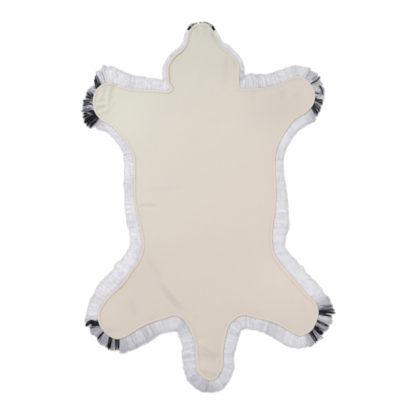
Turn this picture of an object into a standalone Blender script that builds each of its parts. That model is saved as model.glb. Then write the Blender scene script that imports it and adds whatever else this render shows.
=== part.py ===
"""A child's rug in the shape of a lying animal skin, turned over: pile down, back up.

The back is one piece of smooth cream cloth, cut to the animal's outline, its edge
turned under and topstitched. Under it is long white pile cloth, which comes out all
round past the hem in pointed locks. The head has a shorter pile of its own, and the
tip of the muzzle a short black one.

Lengths are in millimetres up to add_solid, which turns them into metres. +Y runs from
the tail to the nose, +X to the animal's side that is on the right seen from above, and
the pile rests on z = 0.
"""

import math
import random
from collections import namedtuple

import bmesh
import bpy
import numpy as np
from mathutils import Vector, noise
from mathutils.geometry import delaunay_2d_cdt

MM = 0.001

# ---------------------------------------------------------------- driving sizes

GAP = 0.35  # between two pieces that lie against each other
PILE_BED = 14.0  # long pile, pressed by the rug's own weight, at the middle
EDGE_SAG = 2.6  # how far the cloth sinks at its edge, where the pile fans out
SAG_WIDTH = 42.0  # strip along the edge in which it sinks
HEAD_BED = 8.5  # short pile under the head
HEAD_CALM = 0.45  # share of sag and waves that the thinner bed of the head takes away
NECK_SLOPE = 55.0  # length over which the cloth comes down from body to head
MUZZLE_SAG = 1.2  # the muzzle lies a little lower still
MUZZLE_SLOPE = 50.0
PILE_FALL = 0.85  # how the rim of pile rounds off: 1 is straight, less is fuller

CLOTH = 1.7  # thickness of the backing cloth
HEM_HEIGHT = 1.3  # extra height where the edge is turned under
HEM_WIDTH = 6.5  # edge to topstitch
HEM_ROUND = 1.6  # width of the hem's rounded outer side
STITCH_DEPTH = 0.5  # how far the topstitch pulls the cloth down
STITCH_WIDTH = 2.6
HEM_RINGS = (HEM_ROUND, HEM_WIDTH - 0.6 * STITCH_WIDTH, HEM_WIDTH, HEM_WIDTH + STITCH_WIDTH)
HEM_HEIGHTS = (HEM_HEIGHT, HEM_HEIGHT, -STITCH_DEPTH, 0.0)  # at those distances inwards
HEM_EDGE_HEIGHT = 0.35 * HEM_HEIGHT

LOCK_PITCH = 12.4  # along the tips of the long pile
LOCK_LENGTH = 10.5
HEAD_LOCK_PITCH = 9.0
HEAD_LOCK_LENGTH = 5.0
MUZZLE_LOCK_PITCH = 8.0
MUZZLE_LOCK_LENGTH = 3.0
LOCK_UNEVEN = (0.65, 1.4)  # widths beside the mean
TIP_SHARE = 0.34  # width of a lock's blunt tip beside the lock's own
TIP_HEIGHT = 1.2
VALLEY_SHARE = 0.38  # height of the pile between two locks beside their length
MIN_ROOT = 0.35  # share of the reach in which no hollow is cut
LEAN_SPREAD = 1.15  # the stretch of edge over which the pile's lean is evened out, by reach
LOCK_SEED = 11

WAVE_HEIGHT = 2.2  # how uneven the rug lies
WAVE_LENGTH = 150.0
WAVE_LAYER = 0.37  # which slice of the noise the waves are
HOLLOW_SHARE = 0.3  # depth of the hollows between the lumps underneath beside the bed
HOLLOW_LENGTH = 70.0
HOLLOW_LAYER = 5.21
HOLLOW_START = 0.07  # unevenness from which there is a hollow
HOLLOW_FULL = 0.4  # and from which it is at its deepest
FLAT_RADIUS = 62.0  # the middle of the back and of the underside lies level

EDGE_STEP = 14.0  # points along a straight stretch of the outline
CORNER_RADIUS = 16.0  # corners tighter than this get more points
BED_STEP = 26.0  # points across the rug
SEAM_STEP = 15.0
TOUCHING = 0.01  # two points this close are one place

# The cloth's outline, clockwise from the nose, by sections. reach is how far the pile
# comes out past the cloth there.
Row = namedtuple("Row", "x y reach")

HEAD_RIGHT = (
    Row(0, 464, 7),
    Row(14, 448, 7),
    Row(24, 433, 8),
    Row(30, 416, 8),
    Row(34, 411, 8),
    Row(45, 403, 12),
    Row(63, 387, 13),
    Row(75, 372, 13),
    Row(80, 354, 13),
    Row(79, 326, 13),
)
RIGHT_FRONT_LEG = (
    Row(80, 305, 13),
    Row(92, 302, 39),
    Row(128, 303, 38),
    Row(168, 308, 36),
    Row(205, 326, 31),
    Row(229, 333, 27),
    Row(249, 324, 32),
    Row(266, 303, 26),
    Row(271, 286, 22),
    Row(265, 260, 24),
    Row(247, 241, 28),
    Row(216, 222, 29),
    Row(196, 195, 26),
)
RIGHT_FLANK = (
    Row(178, 160, 24),
    Row(171, 130, 22),
    Row(171, 84, 21),
    Row(173, 24, 28),
    Row(170, -12, 34),
    Row(165, -45, 38),
    Row(163, -82, 31),
    Row(168, -112, 30),
    Row(181, -136, 35),
)
RIGHT_HIND_LEG = (
    Row(204, -164, 40),
    Row(228, -191, 42),
    Row(252, -219, 40),
    Row(272, -239, 35),
    Row(280, -264, 38),
    Row(274, -289, 35),
    Row(261, -311, 33),
    Row(234, -325, 33),
    Row(204, -311, 38),
    Row(168, -291, 34),
    Row(122, -279, 35),
)
TAIL = (
    Row(90, -272, 38),
    Row(72, -279, 35),
    Row(54, -298, 34),
    Row(45, -325, 32),
    Row(39, -368, 29),
    Row(39, -400, 28),
    Row(31, -418, 30),
    Row(22, -431, 32),
    Row(6, -437, 33),
    Row(-11, -431, 32),
    Row(-26, -415, 31),
    Row(-31, -385, 33),
    Row(-34, -345, 34),
    Row(-43, -314, 31),
    Row(-62, -283, 33),
)
LEFT_HIND_LEG = (
    Row(-82, -273, 41),
    Row(-106, -279, 36),
    Row(-152, -294, 38),
    Row(-182, -310, 43),
    Row(-206, -325, 38),
    Row(-229, -332, 33),
    Row(-249, -325, 30),
    Row(-266, -310, 30),
    Row(-277, -289, 34),
    Row(-279, -266, 31),
    Row(-262, -234, 36),
    Row(-236, -206, 41),
    Row(-216, -187, 42),
    Row(-197, -158, 38),
)
LEFT_FLANK = (
    Row(-176, -128, 35),
    Row(-167, -98, 33),
    Row(-171, -60, 31),
    Row(-182, -14, 30),
    Row(-187, 24, 26),
    Row(-188, 84, 26),
    Row(-190, 128, 25),
)
LEFT_FRONT_LEG = (
    Row(-204, 160, 20),
    Row(-226, 188, 20),
    Row(-246, 208, 23),
    Row(-270, 223, 28),
    Row(-284, 242, 29),
    Row(-289, 262, 26),
    Row(-287, 284, 22),
    Row(-276, 305, 28),
    Row(-256, 317, 41),
    Row(-233, 313, 44),
    Row(-200, 303, 39),
    Row(-136, 299, 31),
    Row(-104, 296, 34),
)
HEAD_LEFT = (
    Row(-93, 302, 30),
    Row(-101, 312, 13),
    Row(-104, 334, 13),
    Row(-104, 356, 12),
    Row(-97, 373, 11),
    Row(-82, 390, 11),
    Row(-66, 403, 11),
    Row(-57, 418, 10),
    Row(-54, 433, 9),
    Row(-48, 449, 8),
    Row(-30, 464, 7),
)
OUTLINE = (
    HEAD_RIGHT
    + RIGHT_FRONT_LEG
    + RIGHT_FLANK
    + RIGHT_HIND_LEG
    + TAIL
    + LEFT_HIND_LEG
    + LEFT_FLANK
    + LEFT_FRONT_LEG
    + HEAD_LEFT
)

# Soft folds in the back: a ridge (or a trough, where height is negative) from one end
# to the other.
Crease = namedtuple("Crease", "x0 y0 x1 y1 width height")

CREASES = (
    Crease(-240, 314, -254, 262, 16, 1.8),  # pucker in the left front paw
    Crease(-268, 276, -252, 240, 12, 1.2),
    Crease(-170, 6, -122, 4, 14, 1.2),  # short fold across the left flank
    Crease(-118, -202, -58, -265, 18, 1.6),  # from the left hind leg to the tail
    Crease(-14, -356, 9, -373, 16, 1.1),  # across the tail
    Crease(2, -394, 18, -382, 12, -0.9),
)

CREASE_FADE = 0.4  # share of a fold's length over which each end fades

# Seams under the back, straight across: where the long pile meets the head's short
# pile, and where that meets the muzzle's.
NECK_SEAM_Y = 314.0
MUZZLE_SEAM_Y = 443.0
NECK_RIGHT_X = 95.0  # where the long pile starts, just outside the head's own rim
NECK_LEFT_X = -116.5
SEAM_CLEAR = 2.0  # what isn't on a seam stays this far from it

CREAM = (0.72, 0.66, 0.58, 1.0)
WHITE_PILE = (0.74, 0.74, 0.78, 1.0)
HEAD_PILE = (0.76, 0.76, 0.79, 1.0)
BLACK_PILE = (0.01, 0.01, 0.014, 1.0)


# ---------------------------------------------------------------- small helpers


def smooth_step(value):
    """0 up to value 0, 1 from value 1, and a soft S between."""
    value = np.clip(value, 0.0, 1.0)
    return value * value * (3.0 - 2.0 * value)


def uneven(points, length, layer):
    """A soft unevenness from about -1 to 1, whose bumps are a length apart."""
    return np.array([noise.noise(Vector((x / length, y / length, layer))) for x, y in points])


def along(line):
    """How far each point lies along an open line."""
    steps = np.hypot(*np.diff(line[:, :2], axis=0).T)
    return np.concatenate([[0.0], np.cumsum(steps)])


def signed_distance(points, outline):
    """How far inside (positive) or outside the closed outline each point lies, and the
    outline point that is nearest to it."""
    start = outline[:, :2]
    end = np.roll(start, -1, axis=0)
    run = end - start
    offset = points[:, None] - start[None]
    part = np.clip((offset * run).sum(-1) / (run * run).sum(-1), 0.0, 1.0)
    distance = np.linalg.norm(offset - part[..., None] * run, axis=-1)
    side = distance.argmin(1)
    nearest = (side + (part[np.arange(len(points)), side] > 0.5)) % len(outline)
    crosses = (start[:, 1] > points[:, 1:2]) != (end[:, 1] > points[:, 1:2])
    rise = np.where(run[:, 1] == 0.0, 1.0, run[:, 1])
    left_of = points[:, :1] < start[:, 0] + offset[..., 1] * run[:, 0] / rise
    inside = (crosses & left_of).sum(1) % 2 == 1
    return np.where(inside, 1.0, -1.0) * distance.min(1), nearest


# ---------------------------------------------------------------- the animal's outline


def curve_through(rows, samples=28):
    """A smooth closed curve through the rows: close points, each with its reach."""
    rows = np.array(rows, float)
    points = []
    for number in range(len(rows)):
        before, here, there, after = (rows[(number + k - 1) % len(rows)] for k in range(4))
        knots = [0.0]
        for a, b in ((before, here), (here, there), (there, after)):
            knots.append(knots[-1] + math.dist(a[:2], b[:2]) ** 0.5)
        t0, t1, t2, t3 = knots
        for t in np.linspace(t1, t2, samples, endpoint=False):
            first = ((t1 - t) * before + (t - t0) * here) / (t1 - t0)
            second = ((t2 - t) * here + (t - t1) * there) / (t2 - t1)
            third = ((t3 - t) * there + (t - t2) * after) / (t3 - t2)
            early = ((t2 - t) * first + (t - t0) * second) / (t2 - t0)
            late = ((t3 - t) * second + (t - t1) * third) / (t3 - t1)
            points.append(((t2 - t) * early + (t - t1) * late) / (t2 - t1))
    return np.array(points)


def spaced(curve, step):
    """Points of the closed curve about a step apart, and closer in its tight corners."""
    closed = np.vstack([curve, curve[:1]])
    ahead = np.diff(closed[:, :2], axis=0)
    heading = np.unwrap(np.arctan2(ahead[:, 1], ahead[:, 0]))
    turn = np.abs(np.diff(heading, append=heading[-1]))
    cost = np.concatenate([[0.0], np.cumsum(np.hypot(*ahead.T) + CORNER_RADIUS * turn)])
    count = round(cost[-1] / step)
    at = np.arange(count) * cost[-1] / count
    return np.column_stack([np.interp(at, cost, closed[:, k]) for k in range(3)])


def seam_line(start_x, end_x, y):
    """Points of a seam, straight across from one side to the other."""
    places = SEAM_STEP * np.arange(math.ceil(start_x / SEAM_STEP), end_x / SEAM_STEP)
    inside = places[(places > start_x + 0.3 * SEAM_STEP) & (places < end_x - 0.3 * SEAM_STEP)]
    places = np.concatenate([[start_x], inside, [end_x]])
    return np.column_stack([places, np.full(len(places), y)])


def start_and_run(crease):
    """Where a crease starts, and the way from there to its end."""
    start = np.array([crease.x0, crease.y0], float)
    return start, np.array([crease.x1, crease.y1]) - start


def inner_points(outline):
    """Points inside the cloth's outline that carry its shape: along each crease and seam,
    and on an even grid between."""
    points = []
    for crease in CREASES:
        start, run = start_and_run(crease)
        across = np.array([-run[1], run[0]]) / np.hypot(*run)
        for part in np.linspace(0.0, 1.0, max(3, round(np.hypot(*run) / crease.width))):
            for side in (-0.5, 0.0, 0.5):
                points.append(start + part * run + side * crease.width * across)
    wide = outline[:, 0].max()
    for y in (NECK_SEAM_Y, MUZZLE_SEAM_Y):
        points.extend(seam_line(-wide, wide, y))
    placed = np.array(points)
    low, high = outline[:, :2].min(0), outline[:, :2].max(0)
    row = BED_STEP * math.sqrt(3.0) / 2.0
    for line, y in enumerate(np.arange(low[1], high[1], row)):
        for x in np.arange(low[0] + line % 2 * BED_STEP / 2.0, high[0], BED_STEP):
            if np.hypot(*(placed - (x, y)).T).min() > 0.5 * BED_STEP:
                points.append(np.array([x, y]))
    points = np.array(points)
    return points[signed_distance(points, outline)[0] > 0.35 * BED_STEP]


# ---------------------------------------------------------------- heights


def level_in_middle(points):
    """0 on the level middle of the rug, and 1 from twice its radius on."""
    return smooth_step(np.hypot(*points.T) / FLAT_RADIUS - 1.0)


def creased(points):
    """How much the folds lift the cloth."""
    lift = np.zeros(len(points))
    for crease in CREASES:
        start, run = start_and_run(crease)
        part = np.clip((points - start) @ run / (run @ run), 0.0, 1.0)
        off = np.linalg.norm(points - start - part[:, None] * run, axis=1)
        fade = smooth_step((1.0 - part) / CREASE_FADE) * smooth_step(part / CREASE_FADE + 0.4)
        lift += crease.height * fade * (1.0 - smooth_step(off / (0.5 * crease.width)))
    return lift


def bed_height(points, outline):
    """The top of the pile under the cloth, where the cloth lies on it."""
    inside = signed_distance(points, outline)[0]
    head = smooth_step(0.4 + (points[:, 1] - NECK_SEAM_Y) / NECK_SLOPE)
    muzzle = smooth_step(0.6 + (points[:, 1] - MUZZLE_SEAM_Y) / MUZZLE_SLOPE)
    bed = PILE_BED + (HEAD_BED - PILE_BED) * head - MUZZLE_SAG * muzzle
    sag = EDGE_SAG * (1.0 - smooth_step(inside / SAG_WIDTH))
    wave = WAVE_HEIGHT * uneven(points, WAVE_LENGTH, WAVE_LAYER) * level_in_middle(points)
    return bed + (wave - sag) * (1.0 - HEAD_CALM * head) + creased(points)


def pile_top(points, outline):
    """The top of the pile: under the cloth its bed, and outside a slope that falls to the
    floor at the pile's reach."""
    inside, nearest = signed_distance(points, outline)
    part = np.clip(-inside / outline[nearest, 2], 0.0, 1.0)
    edge = bed_height(outline[nearest, :2], outline)
    slope = TIP_HEIGHT + (edge - TIP_HEIGHT) * (1.0 - part) ** PILE_FALL
    return np.where(inside > -TOUCHING, bed_height(points, outline), slope)


def hollow_height(points, outline):
    """The underside of the pile: level, with shallow hollows between its lumps."""
    inside = signed_distance(points, outline)[0]
    lumps = uneven(points, HOLLOW_LENGTH, HOLLOW_LAYER)
    share = np.clip((lumps - HOLLOW_START) / (HOLLOW_FULL - HOLLOW_START), 0.0, 1.0)
    depth = HOLLOW_SHARE * bed_height(points, outline)
    return depth * share * smooth_step(inside / BED_STEP) * level_in_middle(points)


# ---------------------------------------------------------------- solids


def triangles_over(rim, inner, chains=()):
    """Triangles over a closed rim and the points inside it, seen from above. No triangle
    crosses a chain, which is a line through some of the inner points."""
    points = [Vector(p) for p in (*rim, *inner)]
    edges = [(len(rim) + a, len(rim) + b) for a, b in chains]
    only_inside = 1
    result = delaunay_2d_cdt(points, edges, [list(range(len(rim)))], only_inside, 0.01 * TOUCHING)
    places, faces, sources = result[0], result[2], result[3]
    if len(places) != len(points):
        raise ValueError("two points of a sheet fall together, or its rim crosses itself")
    number = [source[0] for source in sources]
    return [tuple(number[corner] for corner in face) for face in faces]


def closed_solid(rim, rim_top, rim_floor, top, top_height, floor, floor_height, chains=()):
    """Points and faces of a slab: a rim all round, and points inside it on its two sides.
    A chain joins points of the top."""
    count = len(rim)
    points = np.vstack(
        [
            np.column_stack([rim, rim_top]),
            np.column_stack([rim, rim_floor]),
            np.column_stack([top, top_height]),
            np.column_stack([floor, floor_height]),
        ]
    )
    above = [*range(count), *range(2 * count, 2 * count + len(top))]
    below = [*range(count, 2 * count), *range(2 * count + len(top), len(points))]
    faces = [tuple(above[k] for k in face) for face in triangles_over(rim, top, chains)]
    faces += [tuple(below[k] for k in reversed(face)) for face in triangles_over(rim, floor)]
    for here in range(count):
        there = (here + 1) % count
        faces.append((here, there, count + there, count + here))
    return points, faces


def hem_profile(inside):
    """The cloth's extra height by the distance in from its edge: the turned hem, rounded
    at its outer side, and the furrow of its topstitch."""
    return np.interp(inside, (0.0, *HEM_RINGS), (HEM_EDGE_HEIGHT, *HEM_HEIGHTS))


def inset_rings(outline):
    """Points along the hem's back and along the topstitch, parallel to the edge."""
    ahead = np.roll(outline[:, :2], -1, axis=0) - np.roll(outline[:, :2], 1, axis=0)
    inward = np.column_stack([ahead[:, 1], -ahead[:, 0]]) / np.hypot(*ahead.T)[:, None]
    rings = []
    for depth in HEM_RINGS:
        ring = outline[:, :2] + depth * inward
        clear_of_corners = signed_distance(ring, outline)[0] > 0.93 * depth
        rings.append(ring[clear_of_corners])
    return np.vstack(rings)


def backing(outline, inner):
    """The cream cloth with its turned, topstitched edge."""
    rim = outline[:, :2]
    rings = inset_rings(outline)
    top = np.vstack([rings, inner])
    depth = signed_distance(top, outline)[0]
    rim_floor = bed_height(rim, outline) + GAP
    floor = bed_height(inner, outline) + GAP
    top_height = bed_height(top, outline) + GAP + CLOTH + hem_profile(depth)
    rim_top = rim_floor + CLOTH + hem_profile(np.zeros(len(rim)))
    return closed_solid(rim, rim_top, rim_floor, top, top_height, inner, floor)


def outward(run):
    """The way the pile leans past each point of a stretch of the edge. It turns more
    slowly than the edge does, so that locks crowd in an inner corner and never cross."""
    ahead = np.gradient(run[:, :2], axis=0)
    normal = np.column_stack([-ahead[:, 1], ahead[:, 0]]) / np.hypot(*ahead.T)[:, None]
    place = along(run)
    total = np.vstack([[0.0, 0.0], np.cumsum(normal * np.gradient(place)[:, None], axis=0)])
    place = np.append(place, place[-1] + 1e-6)
    width = LEAN_SPREAD * run[:, 2]
    low = np.clip(place[:-1] - width, 0.0, place[-1])
    high = np.clip(place[:-1] + width, 0.0, place[-1])
    spread = [np.interp(high, place, total[:, k]) - np.interp(low, place, total[:, k]) for k in (0, 1)]
    lean = np.column_stack(spread)
    return lean / np.hypot(*lean.T)[:, None]


def locks(run, pitch, length, seed):
    """The rim of pile along a stretch of the edge: its outline goes from hollow to blunt
    tip to hollow, and each lock has a ridge point at its root. Returns the rim's points
    and their heights, and the ridges' points."""
    chance = random.Random(seed)
    lean = outward(run)
    place = along(run[:, :2] + run[:, 2:] * lean)
    widths = [chance.uniform(*LOCK_UNEVEN) for _ in range(round(place[-1] / pitch))]
    ends = np.concatenate([[0.0], np.cumsum(widths)]) * place[-1] / sum(widths)

    def beside(at, distance):
        """The point that lies a distance out from the edge, some way along the tips."""
        x, y, reach, lean_x, lean_y = (np.interp(at, place, column) for column in (*run.T, *lean.T))
        return x + distance(reach) * lean_x, y + distance(reach) * lean_y

    def hollow(at):
        depth = length * chance.uniform(0.75, 1.15)
        return beside(at, lambda reach: max(reach - depth, MIN_ROOT * reach))

    rim, heights, ridges = [hollow(0.0)], [VALLEY_SHARE * length], []
    for start, end in zip(ends, ends[1:]):
        middle = 0.5 * (start + end) + chance.uniform(-0.12, 0.12) * (end - start)
        half_tip = 0.5 * TIP_SHARE * (end - start)
        longer = chance.uniform(0.93, 1.05)
        for at in (middle - half_tip, middle + half_tip):
            rim.append(beside(at, lambda reach: longer * chance.uniform(0.98, 1.0) * reach))
            heights.append(TIP_HEIGHT)
        rim.append(hollow(end))
        heights.append(VALLEY_SHARE * length)
        ridges.append(beside(middle, lambda reach: max(reach - length, MIN_ROOT * reach)))
    return rim, heights, ridges


def seam(start_x, end_x, y, outline):
    """The straight cut edge of a piece of pile, from one side to the other: points, the
    height of each, and no ridges."""
    line = seam_line(min(start_x, end_x), max(start_x, end_x), y)
    line = line if start_x < end_x else line[::-1]
    return [tuple(point) for point in line], [*pile_top(line, outline)], []


def pile(stretches, outline, inner):
    """One piece of pile cloth: a lumpy slab, level where it lies on the floor. Its rim is
    made of stretches of locks and of seams, end to end."""
    rim = np.array([point for points, _, _ in stretches for point in points])
    rim_top = np.array([height for _, heights, _ in stretches for height in heights])
    ridges = np.array([point for _, _, points in stretches for point in points])
    carried = np.flatnonzero(signed_distance(outline[:, :2], rim)[0] > SEAM_CLEAR)
    chains = [(k, k + 1) for k, ahead in enumerate(np.diff(carried)) if ahead == 1]
    if carried[0] == 0 and carried[-1] == len(outline) - 1:
        chains.append((len(carried) - 1, 0))
    under_cloth = inner[signed_distance(inner, rim)[0] > SEAM_CLEAR]
    floor = inner[signed_distance(inner, rim)[0] > 0.4 * BED_STEP]
    top = np.vstack([outline[carried, :2], under_cloth, ridges])
    top_height = pile_top(top, outline)
    floor_height = hollow_height(floor, outline)
    rim_floor = np.zeros(len(rim))
    return closed_solid(rim, rim_top, rim_floor, top, top_height, floor, floor_height, chains)


# ---------------------------------------------------------------- the rug's pieces


def stretch(curve, first, last):
    """The part of the closed curve from one number to another, past its start if need be."""
    return curve[first : last + 1] if first < last else np.vstack([curve[first:], curve[: last + 1]])


def pile_pieces(curve, outline, inner):
    """The long pile of body, legs and tail, the head's short pile, and the muzzle's."""
    numbers = np.arange(len(curve))
    right = numbers < len(curve) // 2
    x, y = curve[:, 0], curve[:, 1]
    neck_right = numbers[right & (y < NECK_SEAM_Y + SEAM_CLEAR)].min() - 1
    neck_left = numbers[~right & (y < NECK_SEAM_Y + SEAM_CLEAR)].max() + 1
    cheek_right = numbers[right & (y < MUZZLE_SEAM_Y - HEAD_LOCK_LENGTH)].min()
    cheek_left = numbers[~right & (y < MUZZLE_SEAM_Y - HEAD_LOCK_LENGTH)].max()
    muzzle_right = numbers[right & (y < MUZZLE_SEAM_Y)].min() - 1
    muzzle_left = numbers[~right & (y < MUZZLE_SEAM_Y)].max() + 1
    leg_right = numbers[right & (numbers > neck_right) & (x > NECK_RIGHT_X)].min()
    leg_left = numbers[~right & (numbers < neck_left) & (x < NECK_LEFT_X)].max()

    rim = locks(stretch(curve, leg_right, leg_left), LOCK_PITCH, LOCK_LENGTH, LOCK_SEED)
    neck_seam = seam(NECK_LEFT_X, NECK_RIGHT_X, NECK_SEAM_Y - 0.5 * GAP, outline)
    body = pile([rim, neck_seam], outline, inner)

    head_size = (HEAD_LOCK_PITCH, HEAD_LOCK_LENGTH)
    right_rim = locks(stretch(curve, cheek_right, neck_right), *head_size, LOCK_SEED + 1)
    left_rim = locks(stretch(curve, neck_left, cheek_left), *head_size, LOCK_SEED + 2)
    low_seam = seam(right_rim[0][-1][0], left_rim[0][0][0], NECK_SEAM_Y + 0.5 * GAP, outline)
    high_seam = seam(left_rim[0][-1][0], right_rim[0][0][0], MUZZLE_SEAM_Y - 0.5 * GAP, outline)
    head = pile([right_rim, low_seam, left_rim, high_seam], outline, inner)

    muzzle_size = (MUZZLE_LOCK_PITCH, MUZZLE_LOCK_LENGTH)
    rim = locks(stretch(curve, muzzle_left, muzzle_right), *muzzle_size, LOCK_SEED + 3)
    low_seam = seam(rim[0][-1][0], rim[0][0][0], MUZZLE_SEAM_Y + 0.5 * GAP, outline)
    muzzle = pile([rim, low_seam], outline, inner)
    return body, head, muzzle


def coloured(name, colour, roughness):
    """A plain material of one colour."""
    material = bpy.data.materials.new(name)
    material.use_nodes = True
    shader = material.node_tree.nodes["Principled BSDF"]
    shader.inputs["Base Color"].default_value = colour
    shader.inputs["Roughness"].default_value = roughness
    shader.inputs["Metallic"].default_value = 0.0
    return material


def add_solid(name, points, faces, material):
    """An object of the solid, in metres, its faces pointing out."""
    mesh = bpy.data.meshes.new(name)
    mesh.from_pydata([tuple(point) for point in points * MM], [], faces)
    work = bmesh.new()
    work.from_mesh(mesh)
    bmesh.ops.recalc_face_normals(work, faces=work.faces)
    work.to_mesh(mesh)
    work.free()
    mesh.shade_smooth()
    mesh.set_sharp_from_angle(angle=math.radians(50.0))
    mesh.materials.append(material)
    solid = bpy.data.objects.new(name, mesh)
    bpy.context.collection.objects.link(solid)


def build():
    for old in list(bpy.data.objects):
        bpy.data.objects.remove(old)

    curve = curve_through(OUTLINE)
    outline = spaced(curve, EDGE_STEP)
    inner = inner_points(outline)
    body, head, muzzle = pile_pieces(curve, outline, inner)
    solids = {
        "backing": (backing(outline, inner), coloured("cream_cloth", CREAM, 0.85)),
        "body_pile": (body, coloured("long_white_pile", WHITE_PILE, 0.95)),
        "head_pile": (head, coloured("short_white_pile", HEAD_PILE, 0.95)),
        "muzzle_pile": (muzzle, coloured("short_black_pile", BLACK_PILE, 0.9)),
    }
    everything = np.vstack([points for (points, _), _ in solids.values()])
    middle = 0.5 * (everything.min(0) + everything.max(0)) * (1.0, 1.0, 0.0)
    for name, ((points, faces), material) in solids.items():
        add_solid(name, points - middle, faces, material)


build()
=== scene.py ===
"""Builds a child's rug in the shape of a lying animal skin, turned over: back up.

The cream backing cloth has a turned, topstitched hem. Under it lies the long white
pile, which fans out past the hem all round, with black stripes in it at the paws. The
head has a shorter pile, and the muzzle a short black one. Lengths are in metres, with
+Y from the tail to the nose and the floor at z = 0.
"""

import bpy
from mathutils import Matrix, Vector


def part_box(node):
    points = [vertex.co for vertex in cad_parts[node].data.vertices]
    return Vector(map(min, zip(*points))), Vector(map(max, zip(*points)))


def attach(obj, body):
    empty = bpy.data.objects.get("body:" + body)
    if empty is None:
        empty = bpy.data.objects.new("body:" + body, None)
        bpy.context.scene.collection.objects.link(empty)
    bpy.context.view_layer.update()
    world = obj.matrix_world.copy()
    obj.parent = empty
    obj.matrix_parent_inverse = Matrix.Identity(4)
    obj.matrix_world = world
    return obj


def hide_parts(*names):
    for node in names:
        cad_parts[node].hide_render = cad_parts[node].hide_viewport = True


bl_info = {
    "name": "Animal-shaped rug",
    "version": (1, 0, 0),
    "blender": (4, 5, 0),
    "location": "View3D > Sidebar > Rug",
    "description": "Backing cloth, hem, stitching and pile of an animal-shaped rug",
    "category": "Object",
}

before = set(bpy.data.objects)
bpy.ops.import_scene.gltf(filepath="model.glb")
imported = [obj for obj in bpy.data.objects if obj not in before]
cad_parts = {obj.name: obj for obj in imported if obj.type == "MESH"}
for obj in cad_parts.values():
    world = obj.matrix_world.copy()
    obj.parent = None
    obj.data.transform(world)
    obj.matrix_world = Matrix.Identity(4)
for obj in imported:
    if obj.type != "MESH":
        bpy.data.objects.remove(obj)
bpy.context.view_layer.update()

import functools
import math
from collections import namedtuple

import bpy
import numpy as np
from bpy.props import FloatProperty, FloatVectorProperty, IntProperty, PointerProperty
from mathutils import Vector, noise
from mathutils.bvhtree import BVHTree
from mathutils.geometry import delaunay_2d_cdt

MM = 0.001
BODY = "root"
UP = np.array([0.0, 0.0, 1.0])

# ---------------------------------------------------------------- what the rug is like


def table(kind, *rows):
    """A table's rows, with a name for each of their values."""
    return [kind(*row) for row in rows]


# Soft folds in the backing, in millimetres: a ridge (or a trough, where height is
# negative) that runs through three points.
Fold = namedtuple("Fold", "x0 y0 x1 y1 x2 y2 width height")
FOLDS = table(
    Fold,
    # the crumpled left front paw
    (-232, 318, -245, 288, -250, 248, 10, -2.4), (-252, 290, -255, 264, -259, 234, 8, 2.1),
    (-264, 304, -271, 290, -269, 270, 8, 2.5), (-261, 306, -259, 296, -259, 284, 7, -1.3),
    (-286, 264, -270, 267, -256, 269, 6, -1.7), (-288, 256, -272, 260, -256, 262, 5, 1.6),
    (-286, 248, -270, 250, -254, 255, 8, -1.9), (-284, 234, -268, 243, -250, 247, 7, 2.0),
    (-283, 236, -272, 231, -260, 228, 5, -1.0), (-241, 272, -243, 262, -244, 250, 5, 1.6),
    # the left side and hip
    (-174, 4, -150, 3, -124, 2, 8, -1.3), (-174, 12, -150, 11, -128, 10, 10, 0.9),
    (-160, 44, -120, 40, -60, 46, 12, -0.7), (-157, -112, -137, -158, -110, -190, 14, -1.3),
    (-124, -182, -94, -230, -53, -274, 12, -2.7), (-114, -178, -82, -222, -44, -262, 18, 1.2),
    (-196, -226, -190, -256, -180, -286, 12, -1.2),
    (-224, -196, -214, -208, -200, -214, 12, -1.0),
    (-262, -306, -244, -315, -216, -310, 9, -1.2), (-60, -246, -40, -262, -26, -284, 12, 0.9),
    # the tail
    (-30, -340, 0, -355, 32, -378, 14, 4.2), (-28, -368, 0, -380, 28, -388, 12, -2.2),
    (-30, -398, 0, -411, 32, -424, 15, 3.6),
    # the right arm and leg
    (113, 294, 116, 282, 112, 264, 12, -1.0), (186, 298, 189, 282, 194, 258, 10, -1.0),
    (204, 304, 214, 290, 226, 282, 11, 0.9), (150, 300, 158, 288, 170, 280, 8, 0.7),
    (228, -226, 232, -246, 236, -268, 12, 0.9), (96, -246, 118, -258, 140, -262, 12, 0.8),
    # the head
    (44, 392, 46, 344, 44, 284, 14, -1.2), (66, 380, 68, 340, 66, 296, 7, -0.9),
    (6, 448, 13, 428, 22, 406, 6, -1.7), (15, 446, 20, 428, 28, 410, 5, 1.2),
    (-36, 456, -28, 444, -24, 426, 7, -1.2), (-8, 460, -5, 448, 0, 434, 7, -1.2),
    (-20, 460, -17, 446, -15, 430, 7, 1.2), (-30, 300, -28, 330, -34, 360, 14, 0.7),
)

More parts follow.
